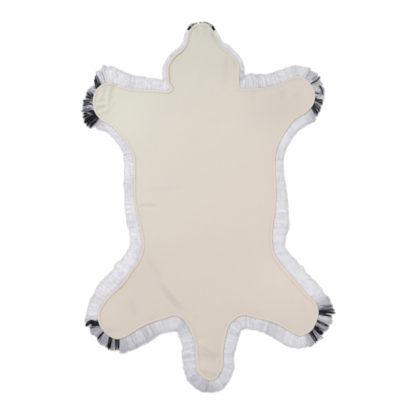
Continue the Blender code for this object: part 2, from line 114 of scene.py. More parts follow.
# Black wisps in the long pile, in millimetres: the middle of the roots and of the tips,
# how wide each end is, how far the middle bows sideways, how full the wisp is (1 hides
# the white), how far it frays and how grey it is.
Wisp = namedtuple("Wisp", "x0 y0 x1 y1 root tip bow full fray grey")
WISPS = table(
    Wisp,
    # left front paw
    (-279, 310, -286, 334, 8, 5, 0, 1.2, 2, 0.0), (-281, 308, -287, 325, 9, 6, 0, 1.2, 1, 0.0),
    (-283, 304, -288, 309, 6, 6, 0, 1.2, 1, 0.1), (-278, 316, -286, 339, 3, 3, 0, 0.7, 1, 0.8),
    (-284, 303, -294, 297, 4, 5, 0, 0.7, 1, 0.7), (-294, 277, -314, 286, 8, 8, 0, 0.9, 3, 0.2),
    (-294, 281, -309, 294, 6, 6, 0, 0.8, 2, 0.2), (-295, 270, -320, 268, 5, 5, 1, 0.8, 2, 0.5),
    (-295, 262, -321, 260, 5, 7, -1, 0.8, 2, 0.2), (-295, 255, -321, 250, 4, 7, 1, 0.6, 2, 0.6),
    (-295, 248, -321, 241, 5, 7, -1, 0.7, 3, 0.5), (-295, 242, -317, 235, 6, 7, 0, 1.0, 3, 0.2),
    (-293, 237, -319, 224, 7, 9, 0, 1.0, 3, 0.2), (-290, 232, -315, 212, 7, 9, 0, 1.2, 3, 0.1),
    (-287, 228, -306, 204, 7, 8, 0, 1.3, 3, 0.0), (-284, 224, -296, 207, 6, 6, 0, 1.2, 2, 0.1),
    # right front paw
    (264, 324, 277, 341, 3, 3, 0, 0.1, 2, 1.1), (259, 313, 276, 323, 3, 4, -1, 0.9, 1, 0.4),
    (270, 318, 282, 332, 2, 3, -1, 0.9, 1, 0.5), (268, 311, 285, 315, 3, 4, 0, 0.2, 2, 1.1),
    (284, 302, 291, 290, 3, 4, 1, 0.6, 1, 0.5), (287, 293, 290, 281, 3, 4, 0, 0.6, 1, 0.5),
    (268, 291, 289, 288, 3, 6, 1, 0.5, 2, 0.7), (270, 290, 291, 281, 2, 4, 0, 0.7, 1, 0.6),
    (270, 273, 290, 266, 7, 6, 1, 1.1, 1, 0.0), (272, 269, 290, 260, 4, 4, 0, 0.9, 1, 0.3),
    (270, 260, 283, 249, 8, 6, 0, 1.1, 1, 0.0), (267, 254, 281, 239, 8, 7, 0, 1.2, 1, 0.0),
    (265, 249, 277, 235, 4, 4, 0, 1.0, 1, 0.1), (264, 243, 274, 230, 3, 5, 0, 0.2, 1, 1.0),
    # right hind paw
    (282, -254, 316, -250, 8, 6, 0, 0.25, 2, 1.1), (296, -251, 317, -250, 3, 3, 0, 0.5, 2, 0.7),
    (288, -260, 318, -259, 4, 6, 0, 0.8, 3, 0.5), (281, -266, 303, -269, 8, 8, 0, 1.2, 0, 0.0),
    (296, -266, 320, -269, 4, 3, 0, 1.0, 1, 0.1), (292, -271, 315, -278, 4, 3, 0, 1.0, 1, 0.2),
    (277, -289, 303, -302, 6, 3.5, 0, 1.2, 0, 0.0),
    (282, -294, 296, -312, 6, 8, 0, 0.3, 2, 0.9), (270, -304, 287, -323, 10, 9, 0, 1.3, 1, 0.0),
    (278, -303, 294, -319, 3, 6, 0, 0.5, 2, 0.6), (265, -310, 283, -333, 4, 6, 0, 0.5, 2, 0.8),
    (258, -315, 274, -340, 10, 7, 0, 1.4, 1, 0.0),
    # left hind paw
    (-279, -296, -304, -296, 10, 11, -1, 1.3, 0, 0.0),
    (-296, -291, -313, -303, 6, 3.5, -4, 1.3, 0, 0.0),
    (-290, -303, -304, -306, 4, 4, 0, 0.4, 1, 0.8),
    (-267, -315, -283, -335, 3.5, 4, 0, 1.2, 0, 0.2),
    (-268, -322, -278, -342, 3, 5, 0, 0.3, 1, 1.0),
    (-248, -331, -255, -360, 8, 10, 0, 1.2, 1, 0.0),
    (-231, -336, -231, -364, 8, 10, 0, 1.3, 0, 0.0),
    (-239, -336, -244, -362, 6, 6, 0, 0.2, 1, 1.0),
)

# White wisps that lie over the black ones, in the same terms.
OVER_WISPS = table(
    Wisp,
    (-293, 264, -311, 278, 2, 2.5, 2, 1.0, 1, 0), (-292, 254, -306, 268, 2, 2, 2, 0.9, 1, 0),
    (-293, 246, -314, 252, 2, 2.5, -2, 0.9, 1, 0), (-298, 257, -316, 254, 2, 2, 2, 0.7, 1, 0),
    (-300, 240, -313, 244, 2, 2, 2, 0.7, 1, 0), (272, 264, 286, 256, 2, 2.5, 0, 1.0, 1, 0),
    (273, 256, 283, 247, 1, 1.5, 0, 0.5, 0, 0), (272, 249, 281, 240, 1, 1.5, 0, 0.4, 0, 0),
)

# In millimetres: how far past the solid's own low end the muzzle's black starts, and
# the place of a tuft of white in it.
MUZZLE_START = 6.0
NOSE_GAP = (-25.5, 464.0)


def linear(text):
    """Linear colour, with alpha 1, of an sRGB hex string."""
    values = [int(text[k : k + 2], 16) / 255 for k in (1, 3, 5)]
    parts = [v / 12.92 if v <= 0.04045 else ((v + 0.055) / 1.055) ** 2.4 for v in values]
    return (*parts, 1.0)


def colour(name, description, text):
    """A colour that the user can change, given as an sRGB hex string."""
    return FloatVectorProperty(
        name=name, description=description, size=4, subtype="COLOR", default=linear(text)
    )


def number(name, description, default, **kind):
    """A number that the user can change: a length, unless it says what else it is."""
    kind = kind or {"unit": "LENGTH"}
    return FloatProperty(name=name, description=description, default=default, **kind)


# A change to one place: its middle and radius in millimetres, and the share of the
# thing that the table is about which is left there.
Place = namedtuple("Place", "x y radius share")

# Where the pile is clipped shorter, or left longer, than its even reach.
PILE_LENGTH = table(
    Place,
    (-303, 310, 14, 0.58), (-290, 206, 18, 0.9), (-262, 180, 26, 0.86), (-196, 356, 26, 0.95),
    (-116, 342, 14, 1.1), (-250, 344, 26, 1.06), (-318, 262, 22, 1.08), (288, 315, 16, 0.9),
    (255, -168, 30, 0.88), (290, -212, 16, 0.92), (290, -330, 22, 0.93), (215, -366, 40, 0.95),
    (105, -322, 24, 0.92), (-88, -330, 16, 1.08), (-291, -334, 15, 0.86),
    (-243, -366, 16, 0.88), (-300, -230, 34, 0.93), (-268, -160, 18, 1.08),
    (-30, -470, 40, 1.05), (215, 60, 60, 1.04), (222, -60, 40, 1.05), (236, 268, 20, 0.95),
    (-46, 462, 10, 1.3), (-18, 470, 16, 0.85), (12, 458, 9, 1.25), (45, 408, 10, 1.4),
)

# Where the white pile is greyer, or paler: between the stripes it is grey where black fibres run
# through it; at the tail, under the hind legs and along some edges the grey is painted shade, and
# the paler places are painted light.
PILE_GREY_AND_SHADE = table(
    Place,
    (0, -452, 34, 0.6), (0, -380, 58, 0.78), (-45, -430, 22, 0.8), (-175, -322, 55, 0.7),
    (-75, -302, 40, 0.84), (150, -306, 70, 0.78), (100, 322, 40, 0.8), (150, 326, 50, 0.84),
    (225, 345, 36, 0.86), (-190, 335, 90, 0.94), (-235, -236, 50, 0.85), (-100, 395, 40, 0.92),
    (-115, 335, 20, 1.1), (60, 400, 30, 0.95), (-82, -296, 20, 1.12), (125, -300, 20, 1.08),
    (-245, 186, 45, 1.12), (-200, 110, 30, 1.08), (195, 180, 30, 1.07), (-262, -338, 36, 0.65),
    (-58, -300, 16, 0.78), (-284, 240, 30, 1.05), (-53, -370, 17, 0.84), (-84, 392, 20, 0.82),
    (172, 324, 30, 0.93), (-190, -335, 20, 0.86), (-272, 190, 16, 1.12), (252, 338, 20, 0.9),
    (-290, -240, 24, 0.86), (66, -312, 30, 0.91), (200, -335, 26, 1.06), (-296, -314, 20, 0.6),
    (294, -262, 34, 0.76), (284, -310, 20, 0.6), (270, -334, 22, 0.6), (278, 300, 22, 0.88),
    (272, 234, 14, 0.75), (-306, 268, 30, 0.7), (-296, 310, 18, 0.8),
)

# Where the turned edge and its stitch lie flatter, or stand out more.
HEM_RELIEF = table(
    Place,
    (175, 306, 85, 0.05), (100, 300, 30, 0.2), (-180, 304, 70, 0.4), (-248, 198, 50, 0.3),
    (205, 205, 45, 0.5), (-97, 328, 36, 2.0), (-76, 390, 30, 1.8), (-50, 436, 28, 1.4),
    (-12, 462, 28, 0.5), (-225, -200, 70, 1.3), (-130, -290, 70, 1.1), (120, -284, 80, 1.1),
    (168, 40, 90, 0.7),
)

# How dark the painted shadow in the topstitch's furrow is: it hardly shows where the furrow faces
# the light.
FURROW_SHADE = table(
    Place,
    (-97, 328, 36, 2.6), (-76, 390, 30, 2.2), (-50, 436, 28, 1.6), (60, 400, 50, 0.3),
    (82, 330, 50, 0.3), (-130, -290, 80, 0.2), (120, -284, 85, 0.2), (-215, -180, 60, 1.5),
)

# Painted light and shade: where the cloth is drawn greyer, or paler, than its colours say, as the
# light falls there.
CLOTH_LIGHT_AND_SHADE = table(
    Place,
    (180, 262, 75, 0.97), (-200, 262, 80, 1.02), (-215, 190, 50, 1.01), (200, -190, 80, 1.018),
    (-180, -170, 70, 0.985), (66, 372, 40, 0.99), (-10, 440, 34, 0.985),
)

# Where the cloth's edge curls out over the pile: 1.2 is 2 mm farther out than 1.
EDGE_OUT = table(
    Place,
    (-18, 464, 24, 1.2), (175, 306, 70, 1.25), (205, 208, 40, 1.22), (-290, 268, 45, 1.26),
)

# Where the turned edge is narrower or wider than its even width.
HEM_WIDTH = table(
    Place,
    (-185, 60, 90, 0.86), (-205, -150, 70, 1.2), (205, -170, 70, 1.25), (0, -390, 90, 1.28),
)

class BackingSettings(bpy.types.PropertyGroup):
    hem_width: number("Hem width", "From the edge of the cloth to its topstitch", 6.5 * MM)
    hem_height: number(
        "Hem height", "How far the turned edge stands above the cloth", 0.9 * MM
    )
    thickness: number("Thickness", "Thickness of the cloth", 1.2 * MM)
    stitch: number("Stitch length", "From one needle hole to the next", 4.0 * MM)
    thread: number("Thread", "Width of the thread", 0.7 * MM)
    folds: number(
        "Folds", "Height of the folds, as a share of what the table gives", 1.7, subtype="FACTOR"
    )
    rosy: colour("Rosy cream", "The cloth towards the tail and the right", "#CBC1B8")
    yellow: colour("Yellow cream", "The cloth towards the head and the left", "#CAC7BC")
    # Painted highlight: the turned edge's colour, paler than the cloth's, stands for the light
    # that it catches.
    hem: colour("Hem", "The turned edge, which lets less light through", "#D0C6BA")
    # Painted shadow: the colour drawn in the topstitch's furrow.
    furrow: colour("Furrow", "The line that the topstitch pulls down", "#B2A594")
    # Painted shade between the thread's turns, and a painted highlight on them.
    thread_shaded: colour("Thread, dark", "Between the thread's turns", "#C9BCAB")
    thread_lit: colour("Thread, pale", "On the thread's turns", "#DACEBF")


class PileSettings(bpy.types.PropertyGroup):
    density: IntProperty(
        name="Tufts per metre",
        description="Tufts of long pile along a metre of the edge",
        default=14500,
        min=100,
    )
    width: number("Tuft width", "Width of a tuft at its root", 0.8 * MM)
    lock: number("Lock width", "Width of the locks that the tufts gather into", 10 * MM)
    bed: number(
        "Solid share", "Share of the pile's reach that its mass fills", 0.88, subtype="FACTOR"
    )
    seed: IntProperty(name="Seed", description="Which arrangement of tufts", default=7)
    white: colour("White", "The white pile", "#E3E2E6")
    bright: colour("White, bright", "The white pile's brightest tufts", "#F0F0F2")
    # The white pile's tone comes down towards this grey also where it carries painted shade.
    shaded: colour("White, shaded", "White pile that black fibres run through", "#83818F")
    black: colour("Black", "The stripes and the muzzle", "#0C0C12")
    ash: colour("Black, thinned", "Black pile that white fibres run through", "#9593A2")


class StageSettings(bpy.types.PropertyGroup):
    camera_height: number("Camera height", "From the rug's back to the camera", 4.0)
    view_width: number("View width", "What the picture spans at the rug's back", 1.0516)
    room_light: number("Room light", "Strength of the light all round", 0.74, unit="NONE")
    key_light: number("Key light", "Strength of the large soft lamp", 1.6, unit="NONE")


# ---------------------------------------------------------------- small helpers


def smooth_step(value):
    """0 up to value 0, 1 from value 1, and a soft S between."""
    value = np.clip(value, 0.0, 1.0)
    return value * value * (3.0 - 2.0 * value)


def uneven(points, length, layer):
    """A soft unevenness from about -1 to 1, whose bumps are a length apart."""
    return np.array([noise.noise(Vector((x / length, y / length, layer))) for x, y in points])


def wavy(points, waves):
    """An unevenness of several waves, each of which has a height, a length and a layer."""
    return sum(height * uneven(points, length, layer) for height, length, layer in waves)


def unit(vectors):
    return vectors / np.maximum(np.linalg.norm(vectors, axis=-1, keepdims=True), 1e-12)


def shares(points, places):
    """What a table of places leaves at each point: 1 away from all of them."""
    left = np.ones(len(points))
    for place in places:
        gap = np.linalg.norm(points[:, :2] - np.array([place.x, place.y]) * MM, axis=1)
        left *= 1.0 + (place.share - 1.0) * np.exp(-((gap / (place.radius * MM)) ** 2))
    return left


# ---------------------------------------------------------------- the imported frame's shape


def wall_loop(node):
    """A node's outline seen from above, clockwise from its farthest point in +Y."""
    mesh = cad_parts[node].data
    mesh.calc_loop_triangles()
    places = np.array([v.co for v in mesh.vertices])
    keys = [tuple(key) for key in np.round(places[:, :2] / (0.02 * MM)).astype(int)]
    upward = [t.vertices for t in mesh.loop_triangles if t.normal.z > 0.02]
    edges = {(keys[t[k]], keys[t[k - 2]]) for t in upward for k in range(3)}
    after = {there: here for here, there in edges if (there, here) not in edges}
    where = dict(zip(keys, places[:, :2]))
    loop = [max(after, key=lambda key: key[1])]
    while after[loop[-1]] != loop[0]:
        loop.append(after[loop[-1]])
    return np.array([where[key] for key in loop])


def curve_through(points):
    """Close points on a smooth closed curve through the points."""
    samples = 12  # for each point given
    found = []
    for number in range(len(points)):
        before, here, there, after = (points[(number + k - 1) % len(points)] for k in range(4))
        knots = [0.0]
        for a, b in ((before, here), (here, there), (there, after)):
            knots.append(knots[-1] + max(math.dist(a, b), 1e-9) ** 0.5)
        t0, t1, t2, t3 = knots
        for t in np.linspace(t1, t2, samples, endpoint=False):
            first = ((t1 - t) * before + (t - t0) * here) / (t1 - t0)
            second = ((t2 - t) * here + (t - t1) * there) / (t2 - t1)
            third = ((t3 - t) * there + (t - t2) * after) / (t3 - t2)
            early = ((t2 - t) * first + (t - t0) * second) / (t2 - t0)
            late = ((t3 - t) * second + (t - t1) * third) / (t3 - t1)
            found.append(((t2 - t) * early + (t - t1) * late) / (t2 - t1))
    return np.array(found)


def along(line):
    """How far each point lies along an open line."""
    return np.concatenate([[0.0], np.cumsum(np.hypot(*np.diff(line, axis=0).T))])


def evenly(curve, step):
    """Points of a closed curve, an even step of about this length apart."""
    closed = np.vstack([curve, curve[:1]])
    place = along(closed)
    at = np.arange(round(place[-1] / step)) * place[-1] / round(place[-1] / step)
    return np.column_stack([np.interp(at, place, closed[:, k]) for k in (0, 1)])


def inside_by(points, outline):
    """How far inside (positive) or outside the closed outline each point lies."""
    start = outline
    run = np.roll(start, -1, axis=0) - start
    found = []
    for some in np.array_split(points, max(1, len(points) // 1500)):
        offset = some[:, None] - start[None]
        part = np.clip((offset * run).sum(-1) / (run * run).sum(-1), 0.0, 1.0)
        distance = np.linalg.norm(offset - part[..., None] * run, axis=-1).min(1)
        end_y = start[:, 1] + run[:, 1]
        crosses = (start[:, 1] > some[:, 1:2]) != (end_y > some[:, 1:2])
        rise = np.where(run[:, 1] == 0.0, 1.0, run[:, 1])
        left_of = some[:, :1] < start[:, 0] + offset[..., 1] * run[:, 0] / rise
        found.append(np.where((crosses & left_of).sum(1) % 2 == 1, 1.0, -1.0) * distance)
    return np.concatenate(found)


LEAN_WIDTH = 1.15  # in reaches: the lean is the mean over so much edge on each side
NEAREST_WALL, FARTHEST_WALL = 1.5 * MM, 60 * MM  # that a stretch of pile reaches to


def lean_along(points, reach, first, last):
    """The way the pile leans past each point of a stretch of the edge. It turns more
    slowly than the edge. Before first and after last it stays as it is there."""
    ahead = np.gradient(points, axis=0)
    normal = unit(np.column_stack([-ahead[:, 1], ahead[:, 0]]))[first : last + 1]
    place = along(points)
    part = place[first : last + 1]
    total = np.vstack([[0.0, 0.0], np.cumsum(normal * np.gradient(part)[:, None], axis=0)])
    stop = np.append(part, part[-1] + 1e-9)
    width = LEAN_WIDTH * reach[first : last + 1]
    low = np.clip(part - width, part[0], part[-1])
    high = np.clip(part + width, part[0], part[-1])
    lean = [np.interp(high, stop, total[:, k]) - np.interp(low, stop, total[:, k]) for k in (0, 1)]
    lean = unit(np.column_stack(lean))
    return unit(np.column_stack([np.interp(place, part, lean[:, k]) for k in (0, 1)]))


def reach_of(points, lean, walls):
    """How far out along its lean each point's pile ends at the solids' own walls."""
    start = np.vstack(walls)
    run = np.vstack([np.roll(wall, -1, axis=0) - wall for wall in walls])
    offset = start[None] - points[:, None]
    across = lean[:, None, 0] * run[None, :, 1] - lean[:, None, 1] * run[None, :, 0]
    across = np.where(np.abs(across) < 1e-12, 1e-12, across)
    out = (offset[..., 0] * run[None, :, 1] - offset[..., 1] * run[None, :, 0]) / across
    part = (offset[..., 0] * lean[:, None, 1] - offset[..., 1] * lean[:, None, 0]) / across
    hits = np.where((part >= 0.0) & (part <= 1.0) & (out > NEAREST_WALL), out, np.inf)
    return np.minimum(hits.min(1), FARTHEST_WALL)


def windowed(values, count, pick):
    """Each value with its neighbours on both sides, put through pick."""
    padded = np.pad(values, count, mode="edge")
    return pick(np.lib.stride_tricks.sliding_window_view(padded, 2 * count + 1), axis=1)


# A stretch of the edge: its points, which way the pile leans from each, and how far out.
Run = namedtuple("Run", "points lean reach")
EDGE_STEP = 2.5 * MM


@functools.cache
def rug_edge():
    """The edge of the backing, clockwise from the nose, a point each few millimetres."""
    edge = evenly(curve_through(wall_loop("backing")), EDGE_STEP)
    ahead = unit(np.roll(edge, -1, axis=0) - np.roll(edge, 1, axis=0))
    outward = np.column_stack([-ahead[:, 1], ahead[:, 0]])
    return edge + (shares(edge, EDGE_OUT) - 1.0)[:, None] * outward * 10 * MM


@functools.cache
def runs():
    """The stretches of the edge: the long pile's, the head's on each side, the muzzle's."""
    edge = rug_edge()
    x, y = edge.T
    numbers = np.arange(len(edge))
    right = numbers < len(edge) // 2
    low_head, high_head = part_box("head_pile")
    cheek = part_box("muzzle_pile")[0].y + MUZZLE_START * MM
    neck_right = numbers[right & (y < low_head.y)].min()
    neck_left = numbers[~right & (y < low_head.y)].max()
    cheek_right = numbers[right & (y < cheek)].min()
    cheek_left = numbers[~right & (y < cheek)].max()
    arm_right = numbers[right & (numbers > neck_right) & (x > high_head.x + 2 * MM)].min()
    arm_left = numbers[~right & (numbers < neck_left) & (x < low_head.x)].max()
    walls = [wall_loop(name) for name in ("body_pile", "head_pile", "muzzle_pile")]
    found = {}
    # Where each starts and ends, between which points its lean turns, and about how far
    # it reaches.
    for name, first, last, low, high, guess in (
        ("body", neck_right, neck_left, arm_right, arm_left, 32 * MM),
        ("head_right", cheek_right, neck_right, cheek_right, neck_right, 12 * MM),
        ("head_left", neck_left, cheek_left, neck_left, cheek_left, 12 * MM),
        ("muzzle", cheek_left, cheek_right, cheek_left, cheek_right, 7 * MM),
    ):
        picked = np.arange(first, last + 1 if last > first else last + 1 + len(edge))
        points = edge[picked % len(edge)]
        reach = np.full(len(points), guess)
        stop = (high if high > low else high + len(edge)) - first
        for _ in range(2):
            lean = lean_along(points, reach, low - first, stop)
            reach = reach_of(points, lean, walls)
            reach[: low - first] = reach[low - first]
            reach[stop:] = reach[stop]
            # As far as the longest locks, evened out over 12 mm to each side.
            reach = windowed(windowed(reach, 4, np.max), 5, np.mean)
        found[name] = Run(points, lean, reach)
    return found


class Ground:
    """The height of the pile's bed under the backing, as one smooth field."""

    STEP = 5 * MM
    BLUR = 2  # in steps
    MARGIN = 12  # round the backing, in steps

    def __init__(self):
        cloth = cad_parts["backing"]
        tree = BVHTree.FromPolygons(
            [v.co for v in cloth.data.vertices], [p.vertices for p in cloth.data.polygons]
        )
        low, high = (np.array(corner)[:2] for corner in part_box("backing"))
        self.low = low - self.MARGIN * self.STEP
        count = np.ceil((high - self.low) / self.STEP).astype(int) + self.MARGIN + 1
        heights = np.full(count, np.nan)
        for i in range(count[0]):
            for j in range(count[1]):
                x, y = self.low + self.STEP * np.array([i, j])
                hit = tree.ray_cast(Vector((x, y, -0.1)), Vector((0, 0, 1)))[0]
                if hit:
                    heights[i, j] = hit.z
        while np.isnan(heights).any():
            around = np.pad(heights, 1, constant_values=np.nan)
            wide, high = around.shape
            near = [
                around[i : wide - 2 + i, j : high - 2 + j] for i in range(3) for j in range(3)
            ]
            known = np.isfinite(near)
            mean = np.where(known, near, 0.0).sum(0) / np.maximum(known.sum(0), 1)
            heights = np.where(np.isnan(heights) & known.any(0), mean, heights)
        reach = 3 * self.BLUR
        weights = np.exp(-0.5 * (np.arange(-reach, reach + 1) / self.BLUR) ** 2)
        weights /= weights.sum()

        def blurred(row):
            return np.convolve(np.pad(row, reach, mode="edge"), weights, "valid")

        for axis in (0, 1):
            heights = np.apply_along_axis(blurred, axis, heights)
        self.heights = heights

    def __call__(self, points):
        at = (np.asarray(points)[:, :2] - self.low) / self.STEP
        at = np.clip(at, 0, np.array(self.heights.shape) - 1.001)
        cell = at.astype(int)
        u, v = (at - cell).T
        i, j = cell.T
        h = self.heights
        low = h[i, j] * (1 - u) + h[i + 1, j] * u
        high = h[i, j + 1] * (1 - u) + h[i + 1, j + 1] * u
        return low * (1 - v) + high * v


ground = functools.cache(Ground)


FOLD_POINTS = 65  # along each fold
FOLD_REACH = 2.5  # in widths of the fold: beyond it nothing is lifted
FOLD_SPREAD = 0.6  # of its width, where a fold has sunk to a third of its height
FOLD_RISE, FOLD_START = 2.6, 0.1  # how fast it rises from its ends, and from what share
DRAPE = ((0.9 * MM, 60 * MM, 1.7), (0.35 * MM, 26 * MM, 4.9))


def folded(points):
    """How much the folds lift the cloth."""
    points = points / MM
    lift = np.zeros(len(points))
    for fold in FOLDS:
        knots = np.array([[fold.x0, fold.y0], [fold.x1, fold.y1], [fold.x2, fold.y2]], float)
        t = np.linspace(0.0, 1.0, FOLD_POINTS)[:, None]
        control = 2.0 * knots[1] - 0.5 * (knots[0] + knots[2])
        line = (1 - t) ** 2 * knots[0] + 2 * t * (1 - t) * control + t * t * knots[2]
        reach = FOLD_REACH * fold.width
        near = ((points > line.min(0) - reach) & (points < line.max(0) + reach)).all(1)
        gap = np.linalg.norm(points[near, None] - line[None], axis=-1)
        best = gap.argmin(1)
        part = best / (len(line) - 1)
        fade = smooth_step(FOLD_RISE * part + FOLD_START)
        fade *= smooth_step(FOLD_RISE * (1.0 - part) + FOLD_START)
        spread = FOLD_SPREAD * fold.width
        lift[near] += fold.height * fade * np.exp(-((gap.min(1) / spread) ** 2))
    return lift * MM * bpy.context.scene.rug_backing.folds


def drape(points):
    """How much the cloth rises and sinks from place to place."""
    return wavy(points, DRAPE)


def bed(points):
    """The height of the pile's bed, which the cloth presses down where it lies low."""
    return ground()(points) + np.minimum(folded(points) + drape(points), 0.0)


# ---------------------------------------------------------------- meshes


def add_piece(name, places, faces, material, uv=None, numbers=()):
    """A new object. faces is one array of corners for each size of face, uv has a place
    for each corner, and numbers are (name, value for each point)."""
    mesh = bpy.data.meshes.new(name)
    faces = [np.asarray(some, np.int32) for some in faces]
    corners = np.concatenate([some.ravel() for some in faces])
    sizes = np.concatenate([np.full(len(some), some.shape[1]) for some in faces])
    mesh.vertices.add(len(places))
    mesh.vertices.foreach_set("co", np.asarray(places, np.float32).ravel())
    mesh.loops.add(len(corners))
    mesh.loops.foreach_set("vertex_index", corners)
    mesh.polygons.add(len(sizes))
    starts = np.concatenate([[0], np.cumsum(sizes)[:-1]]).astype(np.int32)
    mesh.polygons.foreach_set("loop_start", starts)
    mesh.update(calc_edges=True)
    if mesh.validate():
        raise ValueError(f"{name} has faulty faces")
    mesh.polygons.foreach_set("use_smooth", np.full(len(sizes), True))
    if uv is not None:
        layer = mesh.uv_layers.new(name="OFBake")
        layer.uv.foreach_set("vector", np.asarray(uv, np.float32).ravel())
    for label, values in numbers:
        attribute = mesh.attributes.new(label, "FLOAT", "POINT")
        attribute.data.foreach_set("value", np.asarray(values, np.float32))
    mesh.materials.append(material)
    piece = bpy.data.objects.new(name, mesh)
    bpy.context.collection.objects.link(piece)
    return piece


def triangles_over(rim, inner):
    """Triangles over a closed rim and the points inside it, seen from above."""
    points = [Vector(p) for p in (*rim, *inner)]
    only_inside = 1
    result = delaunay_2d_cdt(points, [], [list(range(len(rim)))], only_inside, 1e-7)
    places, faces, sources = result[0], result[2], result[3]
    if len(places) != len(points):
        raise ValueError("two points of a sheet fall together, or its rim crosses itself")
    number = [source[0] for source in sources]
    found = np.array([[number[corner] for corner in face] for face in faces])
    both = np.array([*rim, *inner])
    a, b, c = (both[found[:, k]] for k in range(3))
    turn = (b[:, 0] - a[:, 0]) * (c[:, 1] - a[:, 1]) - (b[:, 1] - a[:, 1]) * (c[:, 0] - a[:, 0])
    found[turn < 0] = found[turn < 0][:, ::-1]
    return found


def slab(rim, rim_top, rim_floor, top, top_height, floor, floor_height):
    """Points and faces of a closed sheet with a shared rim. Returns also how many points
    are on its upper side."""
    count = len(rim)
    places = np.vstack(
        [
            np.column_stack([rim, rim_top]),
            np.column_stack([top, top_height]),
            np.column_stack([rim, rim_floor]),
            np.column_stack([floor, floor_height]),
        ]
    )
    upper = count + len(top)
    above = triangles_over(rim, top)
    below = triangles_over(rim, floor)[:, ::-1] + upper
    here = np.arange(count)
    there = (here + 1) % count
    wall = np.column_stack([here, there, there + upper, here + upper])
    return places, [np.vstack([above, below]), wall], upper


def grid_inside(outline, step, margin):
    """Points of a triangular grid that lie at least a margin inside the outline."""
    low, high = outline.min(0), outline.max(0)
    rows = np.arange(low[1], high[1], step * math.sqrt(3.0) / 2.0)
    points = [
        np.column_stack([xs, np.full(len(xs), y)])
        for line, y in enumerate(rows)
        for xs in [np.arange(low[0] + line % 2 * step / 2.0, high[0], step)]
    ]
    points = np.vstack(points)
    return points[inside_by(points, outline) > margin]


def flat_uv(places, faces, upper):
    """A map of a sheet from above: its upper side at the left, the rest smaller beside
    it, at the right."""
    low = places[:, :2].min(0)
    size = np.ptp(places[:, 1])
    found = []
    for some in faces:
        hidden = (np.asarray(some) >= upper).any(1)
        uv = (places[some, :2] - low) / size
        uv[hidden] = 0.45 * uv[hidden] + (0.69, 0.02)
        found.append(uv.reshape(-1, 2) * 0.99 + 0.004)
    return np.vstack(found)


def settle(piece, slot_name, *replaced):
    """Puts a piece on the rug's body, in its nodes' place; slot_name, for its material slot, is
    not used.
    """
    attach(piece, BODY)
    if replaced:
        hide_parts(*replaced)
    return piece


# ---------------------------------------------------------------- materials


def plug(tree, node, inputs):
    """Gives a node's inputs a value each, or a link from another node's output."""
    for socket, value in inputs.items():
        if isinstance(value, bpy.types.NodeSocket):
            tree.links.new(value, node.inputs[socket])
        else:
            node.inputs[socket].default_value = value


def add_node(tree, kind, inputs=None, out=0, stops=(), **settings):
    """Adds a shader node with its settings, inputs and, on a colour ramp, stops: (position,
    linear colour) each. Returns one of its outputs, or all of them where out is None."""
    made = tree.nodes.new("ShaderNode" + kind)
    for name, value in settings.items():
        setattr(made, name, value)
    plug(tree, made, inputs or {})
    if stops:
        elements = made.color_ramp.elements
        while len(elements) < len(stops):
            elements.new(0.5)
        for element, stop in zip(elements, stops):
            element.position, element.color = stop
    return made.outputs if out is None else made.outputs[out]


def new_material(name):
    """An empty material, its node tree and its Principled shader."""
    material = bpy.data.materials.new(name)
    material.use_nodes = True
    return material, material.node_tree, material.node_tree.nodes["Principled BSDF"]


def grey(value):
    return (value, value, value, 1.0)


